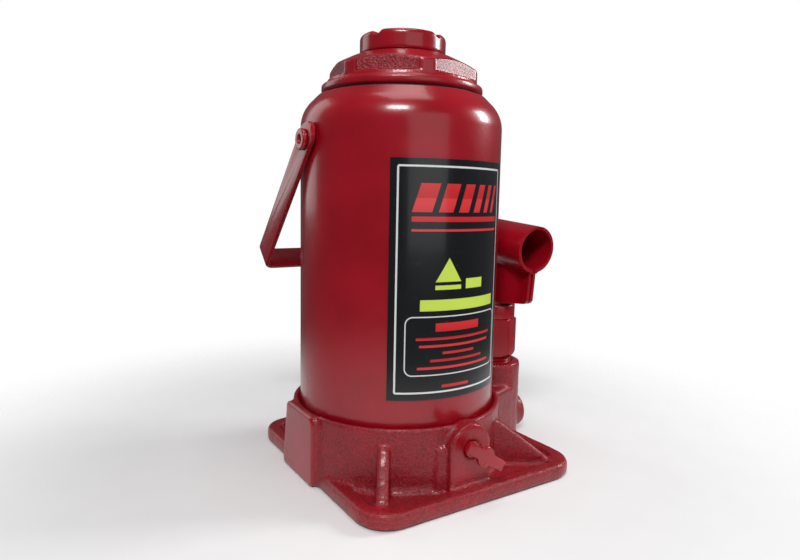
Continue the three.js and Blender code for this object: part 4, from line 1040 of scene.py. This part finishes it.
def build_check_valves(sizes):
    """The balls, springs, screw, strainer and plug of the oil ways in the base."""
    for node, body in (("outlet_ball", "base"), ("inlet_ball", "base"), ("safety_ball", "base"),
                       ("release_ball", "valve_travel")):
        low, high = box_mm(node)
        bpy.ops.object.select_all(action="DESELECT")
        bpy.ops.mesh.primitive_ico_sphere_add(subdivisions=4, radius=(high.z - low.z) / 2 * MM,
                                              location=(low + high) / 2 * MM)
        ball = bpy.context.object
        ball.name = ball.data.name = node + "_ground"
        bpy.ops.object.transform_apply(location=True, rotation=True, scale=True)
        finished(ball, body, "machined_steel", node)
    low, high = box_mm("outlet_spring")
    spring = coil("outlet_spring_wound", 2.7, 0.55, 0, high.x - low.x, 6)
    move(spring, Matrix.Rotation(math.pi / 2, 4, "Y"))
    move(spring, Matrix.Translation(Vector((low.x, 0, (low.z + high.z) / 2)) * MM))
    finished(spring, "base", "spring_steel", "outlet_spring")
    low, high = box_mm("safety_spring")
    spring = coil("safety_spring_wound", 2.7, 0.55, low.z, high.z, 4)
    move(spring, Matrix.Translation(Vector(((low.x + high.x) / 2, 0, 0)) * MM))
    finished(spring, "base", "spring_steel", "safety_spring")
    low, high = box_mm("safety_screw")
    x = (low.x + high.x) / 2
    screw = turned("safety_screw_slotted", [(0, low.z), (4.3, low.z, 0.5), (4.3, high.z, 0.5), (0, high.z)],
                   at=(x, 0, 0))
    combine(screw, "DIFFERENCE", block("slot", (x - 0.6, -6, high.z - 1.3), (x + 0.6, 6, high.z + 1)))
    finished(screw, "base", "machined_steel", "safety_screw")
    low, high = box_mm("oil_strainer")
    strainer = turned("oil_strainer_cap", [(0, low.z), (3.7, low.z, 0.3), (3.7, high.z - 2, 0.4),
                                           (2.2, high.z, 0.6), (0, high.z)], at=((low.x + high.x) / 2, 0, 0))
    finished(strainer, "base", "brass_mesh", "oil_strainer")
    low, high = box_mm("gallery_plug")
    z = (low.z + high.z) / 2
    plug = turned("gallery_plug_turned", [(0, low.x), (5.6, low.x, 0.5), (5.6, high.x, 0.9), (0, high.x)],
                  "X", (0, 0, z))
    reach = 6 / math.sqrt(3)
    corners = [(reach * math.cos(k * math.pi / 3), z + reach * math.sin(k * math.pi / 3))
               for k in range(6)]
    combine(plug, "DIFFERENCE", plate("key_hole", corners, "X", high.x - 5, high.x + 2))
    finished(plug, "base", "smooth_paint", "gallery_plug")


# ------------------------------------------------------------------ carrying handle


def build_handle(sizes):
    """The carrying handle: a flat strap bent to a U, with its ends drilled and rounded."""
    outer = box_mm("carrying_handle")[1].x
    pivot = middle_mm("handle_pivot_left")
    strap, half, foot, bend, crest = 3.0, 8.25, -111.5, 7.0, 13.0
    inner = outer - strap
    loop = plate("carrying_handle_strap", [
        (-outer, crest), (-outer, foot, bend), (outer, foot, bend), (outer, crest), (inner, crest),
        (inner, foot + strap, bend - strap), (-inner, foot + strap, bend - strap), (-inner, crest)],
        "Y", -half, half, 8)
    sides = plate("sides", [
        (-half - 1, foot - 1), (half + 1, foot - 1), (half + 1, 4), (half, 4, 2),
        (half - 4.5, crest - 1.8, 3), (half - 9, crest, 5), (0.8 - half, crest - 4.2, 5),
        (-half, crest - 8.5, 4), (-half, 2), (-half - 1, 2)], "X", -outer - 1, outer + 1)
    combine(loop, "INTERSECT", sides)
    combine(loop, "DIFFERENCE", rod("hole", 4.3, -outer - 2, outer + 2, "X"))
    soften(loop, 0.55, 3, 50)
    placed(loop, "X", 43.5, (0, 0, pivot.z))
    finished(loop, "carrying_handle", "smooth_paint", "carrying_handle")
    for node in ("handle_pivot_left", "handle_pivot_right"):
        low, high = box_mm(node)
        start, end = min(abs(low.x), abs(high.x)), max(abs(low.x), abs(high.x))
        seat = end - 2.6
        rivet = turned(node + "_rivet", [
            (0, start), (4, start, 0.3), (4, seat), (6.6, seat, 0.4), (6.6, end, 1.1), (3.0, end, 0.5),
            (2.6, end - 1.9, 0.5), (0, end - 1.9)], "X", steps=64)
        side = 0 if node.endswith("right") else 180
        placed(rivet, "Z", side, (0, 0, pivot.z))
        finished(rivet, "base", "smooth_paint", node)


# ------------------------------------------------------------------ stage


def pale_floor():
    """A pale floor that fades into the room, darker under the jack only by its own shadow."""
    bpy.ops.object.select_all(action="DESELECT")
    bpy.ops.mesh.primitive_circle_add(vertices=96, radius=4, fill_type="NGON", location=(0, 0, -0.0003))
    floor = bpy.context.object
    floor.name = "floor"
    material, place = new_material("floor_paint")
    grain = place.noise(30.0, 3.0)
    tone = grain.mixed((0.88, 0.88, 0.88), (0.92, 0.92, 0.92))
    x, y, _ = place.xyz()
    away = (x * x + y * y).root()
    surface(place, tone, 0.6 + grain * 0.1, Alpha=1 - away.step(*FLOOR_FADE))
    floor.data.materials.append(material)


def pale_world():
    """A white room to the eye, which lights the jack only dimly."""
    world = bpy.data.worlds.new("pale_room")
    bpy.context.scene.world = world
    world.use_nodes = True
    tree = world.node_tree
    tree.nodes.clear()
    seen = Wire(tree, tree.nodes.new("ShaderNodeLightPath").outputs["Is Camera Ray"])
    color = seen.mixed((0.1, 0.1, 0.105), (1.0, 1.0, 1.0))
    shown = seen.node("ShaderNodeBackground", None, {"Color": color, "Strength": 1.0})
    seen.node("ShaderNodeOutputWorld", None, {"Surface": shown})


def soft_light(name, azimuth, elevation, distance, width, height, power):
    """An area light aimed at the jack. Azimuth 0 is the camera's side, and it grows to the right."""
    target = Vector((0, 0, AIM_HEIGHT))
    turn = math.radians(azimuth + 90 - bpy.context.scene.jack_sizes.view_azimuth) - math.pi
    rise = math.radians(elevation)
    back = Vector((math.cos(turn) * math.cos(rise), math.sin(turn) * math.cos(rise), math.sin(rise)))
    light = bpy.data.lights.new(name, "AREA")
    light.shape, light.size, light.size_y, light.energy = "RECTANGLE", width, height, power
    lamp = bpy.data.objects.new(name, light)
    lamp.location = target + back * distance
    lamp.rotation_euler = (-back).to_track_quat("-Z", "Y").to_euler()
    bpy.context.scene.collection.objects.link(lamp)


def camera(sizes):
    """The camera, low and close in front, turned slightly so that upright edges lean with it."""
    data = bpy.data.cameras.new("view")
    data.sensor_width, data.lens = SENSOR, LENS
    data.shift_x, data.shift_y = SHIFT
    data.clip_start, data.clip_end = 0.01, 20.0
    eye = bpy.data.objects.new("view", data)
    heading = math.radians(sizes.view_azimuth)
    eye.location = (-math.sin(heading) * EYE_DISTANCE, -math.cos(heading) * EYE_DISTANCE, EYE_HEIGHT)
    pitch = math.radians(sizes.view_pitch)
    look = Vector((math.sin(heading) * math.cos(pitch), math.cos(heading) * math.cos(pitch),
                   -math.sin(pitch)))
    roll = Matrix.Rotation(EYE_ROLL, 4, "Z")
    eye.matrix_world = (Matrix.Translation(eye.location)
                        @ look.to_track_quat("-Z", "Y").to_matrix().to_4x4() @ roll)
    bpy.context.scene.collection.objects.link(eye)
    bpy.context.scene.camera = eye


def build_stage(sizes):
    """The floor, the room, the camera and the five lights."""
    bpy.context.scene.view_settings.view_transform = "Standard"
    pale_floor()
    pale_world()
    camera(sizes)
    soft_light("front_softbox", -4, 42, 1.1, 0.34, 0.16, 7)
    soft_light("right_window", 104, 24, 1.1, 0.26, 0.34, 6)
    soft_light("left_panel", -118, 20, 1.5, 0.7, 1.2, 4)
    soft_light("top_panel", 20, 84, 1.3, 0.7, 0.7, 4.5)
    soft_light("front_fill", 30, 12, 2.0, 1.6, 1.2, 5)


# ------------------------------------------------------------------ add-on


def length(name, description, default):
    """A size that a maker can set."""
    return bpy.props.FloatProperty(name=name, description=description, default=default, min=0.0,
                                   unit="LENGTH", precision=5)


def tint(name, description, default):
    """A colour that a maker can set."""
    return bpy.props.FloatVectorProperty(name=name, description=description, default=default, size=3,
                                         min=0.0, max=1.0, subtype="COLOR")


class JackSizes(bpy.types.PropertyGroup):
    """Sizes that change how the pieces are finished."""

    casting_voxel: length("Casting mesh", "Size of the casting's mesh cells", 0.00118)
    casting_relief: length("Casting relief", "Height of the uneven ground on the casting", 0.00045)
    shoulder_radius: length("Shoulder", "Radius of the reservoir's shoulder", 0.022)
    thread_pitch: length("Thread pitch", "Rise of the extension screw in one turn", 0.006)
    sheet: length("Sheet", "Thickness of the handle socket's sheet", 0.00225)
    fine_steps: bpy.props.IntProperty(name="Turning steps", description="Faces round a large turned piece",
                                      default=160, min=24, max=360)
    view_azimuth: bpy.props.FloatProperty(name="View heading", default=32.5,
                                          description="How far the view is turned from +Y, in degrees")
    view_pitch: bpy.props.FloatProperty(name="View pitch", default=6.8,
                                        description="How far the view looks down, in degrees")


class JackColors(bpy.types.PropertyGroup):
    """Colours of the finishes."""

    paint: tint("Paint", "Red gloss paint", (0.37, 0.0035, 0.014))
    paint_dark: tint("Paint, thick", "Where the paint lies thicker", (0.29, 0.0025, 0.009))
    # Painted shade for the pits of the casting; the smooth paint also uses this colour for its dark specks.
    pit_shade_and_specks: tint("Paint, pits", "Paint in the pits of the casting", (0.11, 0.001, 0.004))
    label_black: tint("Label", "Ground of the label", (0.006, 0.007, 0.008))
    label_red: tint("Label red", "Red print", (0.62, 0.02, 0.025))
    label_green: tint("Label green", "Yellow-green print", (0.66, 0.86, 0.11))
    label_white: tint("Label white", "White print", (0.82, 0.82, 0.83))
    rubber: tint("Rubber", "Seals and plugs", (0.018, 0.018, 0.02))
    chrome: tint("Plated steel", "The ram", (0.72, 0.73, 0.75))
    steel: tint("Steel", "Turned steel", (0.5, 0.51, 0.53))
    dark_steel: tint("Spring steel", "Springs and snap rings", (0.22, 0.23, 0.25))
    copper: tint("Copper", "Sealing washers", (0.72, 0.34, 0.18))
    brass: tint("Brass", "Strainer", (0.68, 0.5, 0.2))


def run(build, context):
    """Makes a piece with the scene's sizes."""
    build(context.scene.jack_sizes)
    return {"FINISHED"}


class JACK_OT_stage(bpy.types.Operator):
    """Add the floor, the lights and the camera"""

    bl_idname = "jack.stage"
    bl_label = "Stage"

    def execute(self, context):
        return run(build_stage, context)


class JACK_OT_base(bpy.types.Operator):
    """Add the base casting"""

    bl_idname = "jack.base"
    bl_label = "Base casting"

    def execute(self, context):
        return run(build_base, context)


class JACK_OT_reservoir(bpy.types.Operator):
    """Add the reservoir tube"""

    bl_idname = "jack.reservoir"
    bl_label = "Reservoir"

    def execute(self, context):
        return run(build_reservoir, context)


class JACK_OT_label(bpy.types.Operator):
    """Add the label film"""

    bl_idname = "jack.label"
    bl_label = "Label"

    def execute(self, context):
        return run(build_label, context)


class JACK_OT_filler_plug(bpy.types.Operator):
    """Add the rubber filler plug"""

    bl_idname = "jack.filler_plug"
    bl_label = "Filler plug"

    def execute(self, context):
        return run(build_filler_plug, context)


class JACK_OT_top_nut(bpy.types.Operator):
    """Add the top nut"""

    bl_idname = "jack.top_nut"
    bl_label = "Top nut"

    def execute(self, context):
        return run(build_top_nut, context)


class JACK_OT_screw(bpy.types.Operator):
    """Add the extension screw"""

    bl_idname = "jack.extension_screw"
    bl_label = "Extension screw"

    def execute(self, context):
        return run(build_screw, context)


class JACK_OT_ram(bpy.types.Operator):
    """Add the ram, its piston, the cylinder and their seals"""

    bl_idname = "jack.ram"
    bl_label = "Ram and cylinder"

    def execute(self, context):
        return run(build_ram, context)


class JACK_OT_pump(bpy.types.Operator):
    """Add the pump cylinder, gland nut and plunger"""

    bl_idname = "jack.pump"
    bl_label = "Pump"

    def execute(self, context):
        return run(build_pump, context)


class JACK_OT_socket(bpy.types.Operator):
    """Add the handle socket"""

    bl_idname = "jack.socket"
    bl_label = "Handle socket"

    def execute(self, context):
        return run(build_socket, context)


class JACK_OT_linkage(bpy.types.Operator):
    """Add the fulcrum link, the pins and their snap rings"""

    bl_idname = "jack.linkage"
    bl_label = "Link and pins"

    def execute(self, context):
        return run(build_linkage, context)


class JACK_OT_release_valve(bpy.types.Operator):
    """Add the release valve and its key"""

    bl_idname = "jack.release_valve"
    bl_label = "Release valve"

    def execute(self, context):
        return run(build_release_valve, context)


class JACK_OT_check_valves(bpy.types.Operator):
    """Add the check valves, the overload valve and the gallery plug"""

    bl_idname = "jack.check_valves"
    bl_label = "Check valves"

    def execute(self, context):
        return run(build_check_valves, context)


class JACK_OT_handle(bpy.types.Operator):
    """Add the carrying handle and its rivets"""

    bl_idname = "jack.carrying_handle"
    bl_label = "Carrying handle"

    def execute(self, context):
        return run(build_handle, context)


OPERATORS = (
    JACK_OT_stage,
    JACK_OT_base,
    JACK_OT_reservoir,
    JACK_OT_label,
    JACK_OT_filler_plug,
    JACK_OT_top_nut,
    JACK_OT_screw,
    JACK_OT_ram,
    JACK_OT_pump,
    JACK_OT_socket,
    JACK_OT_linkage,
    JACK_OT_release_valve,
    JACK_OT_check_valves,
    JACK_OT_handle,
)


class JACK_PT_panel(bpy.types.Panel):
    """Lists the jack's pieces, sizes and colours"""

    bl_label = "Bottle Jack"
    bl_idname = "JACK_PT_panel"
    bl_space_type = "VIEW_3D"
    bl_region_type = "UI"
    bl_category = "Bottle Jack"

    def draw(self, context):
        column = self.layout.column()
        for operator in OPERATORS:
            column.operator(operator.bl_idname)
        for group in (context.scene.jack_sizes, context.scene.jack_colors):
            for key in group.__annotations__:
                column.prop(group, key)


def register():
    """Adds the sizes, the colours, the operators and the panel."""
    for kind in (JackSizes, JackColors, *OPERATORS, JACK_PT_panel):
        bpy.utils.register_class(kind)
    bpy.types.Scene.jack_sizes = bpy.props.PointerProperty(type=JackSizes)
    bpy.types.Scene.jack_colors = bpy.props.PointerProperty(type=JackColors)


def unregister():
    """Takes them away again."""
    del bpy.types.Scene.jack_colors
    del bpy.types.Scene.jack_sizes
    for kind in reversed((JackSizes, JackColors, *OPERATORS, JACK_PT_panel)):
        bpy.utils.unregister_class(kind)


def main():
    """Runs every operator in order."""
    register()
    for operator in OPERATORS:
        family, name = operator.bl_idname.split(".")
        getattr(getattr(bpy.ops, family), name)()


if __name__ == "__main__":
    main()
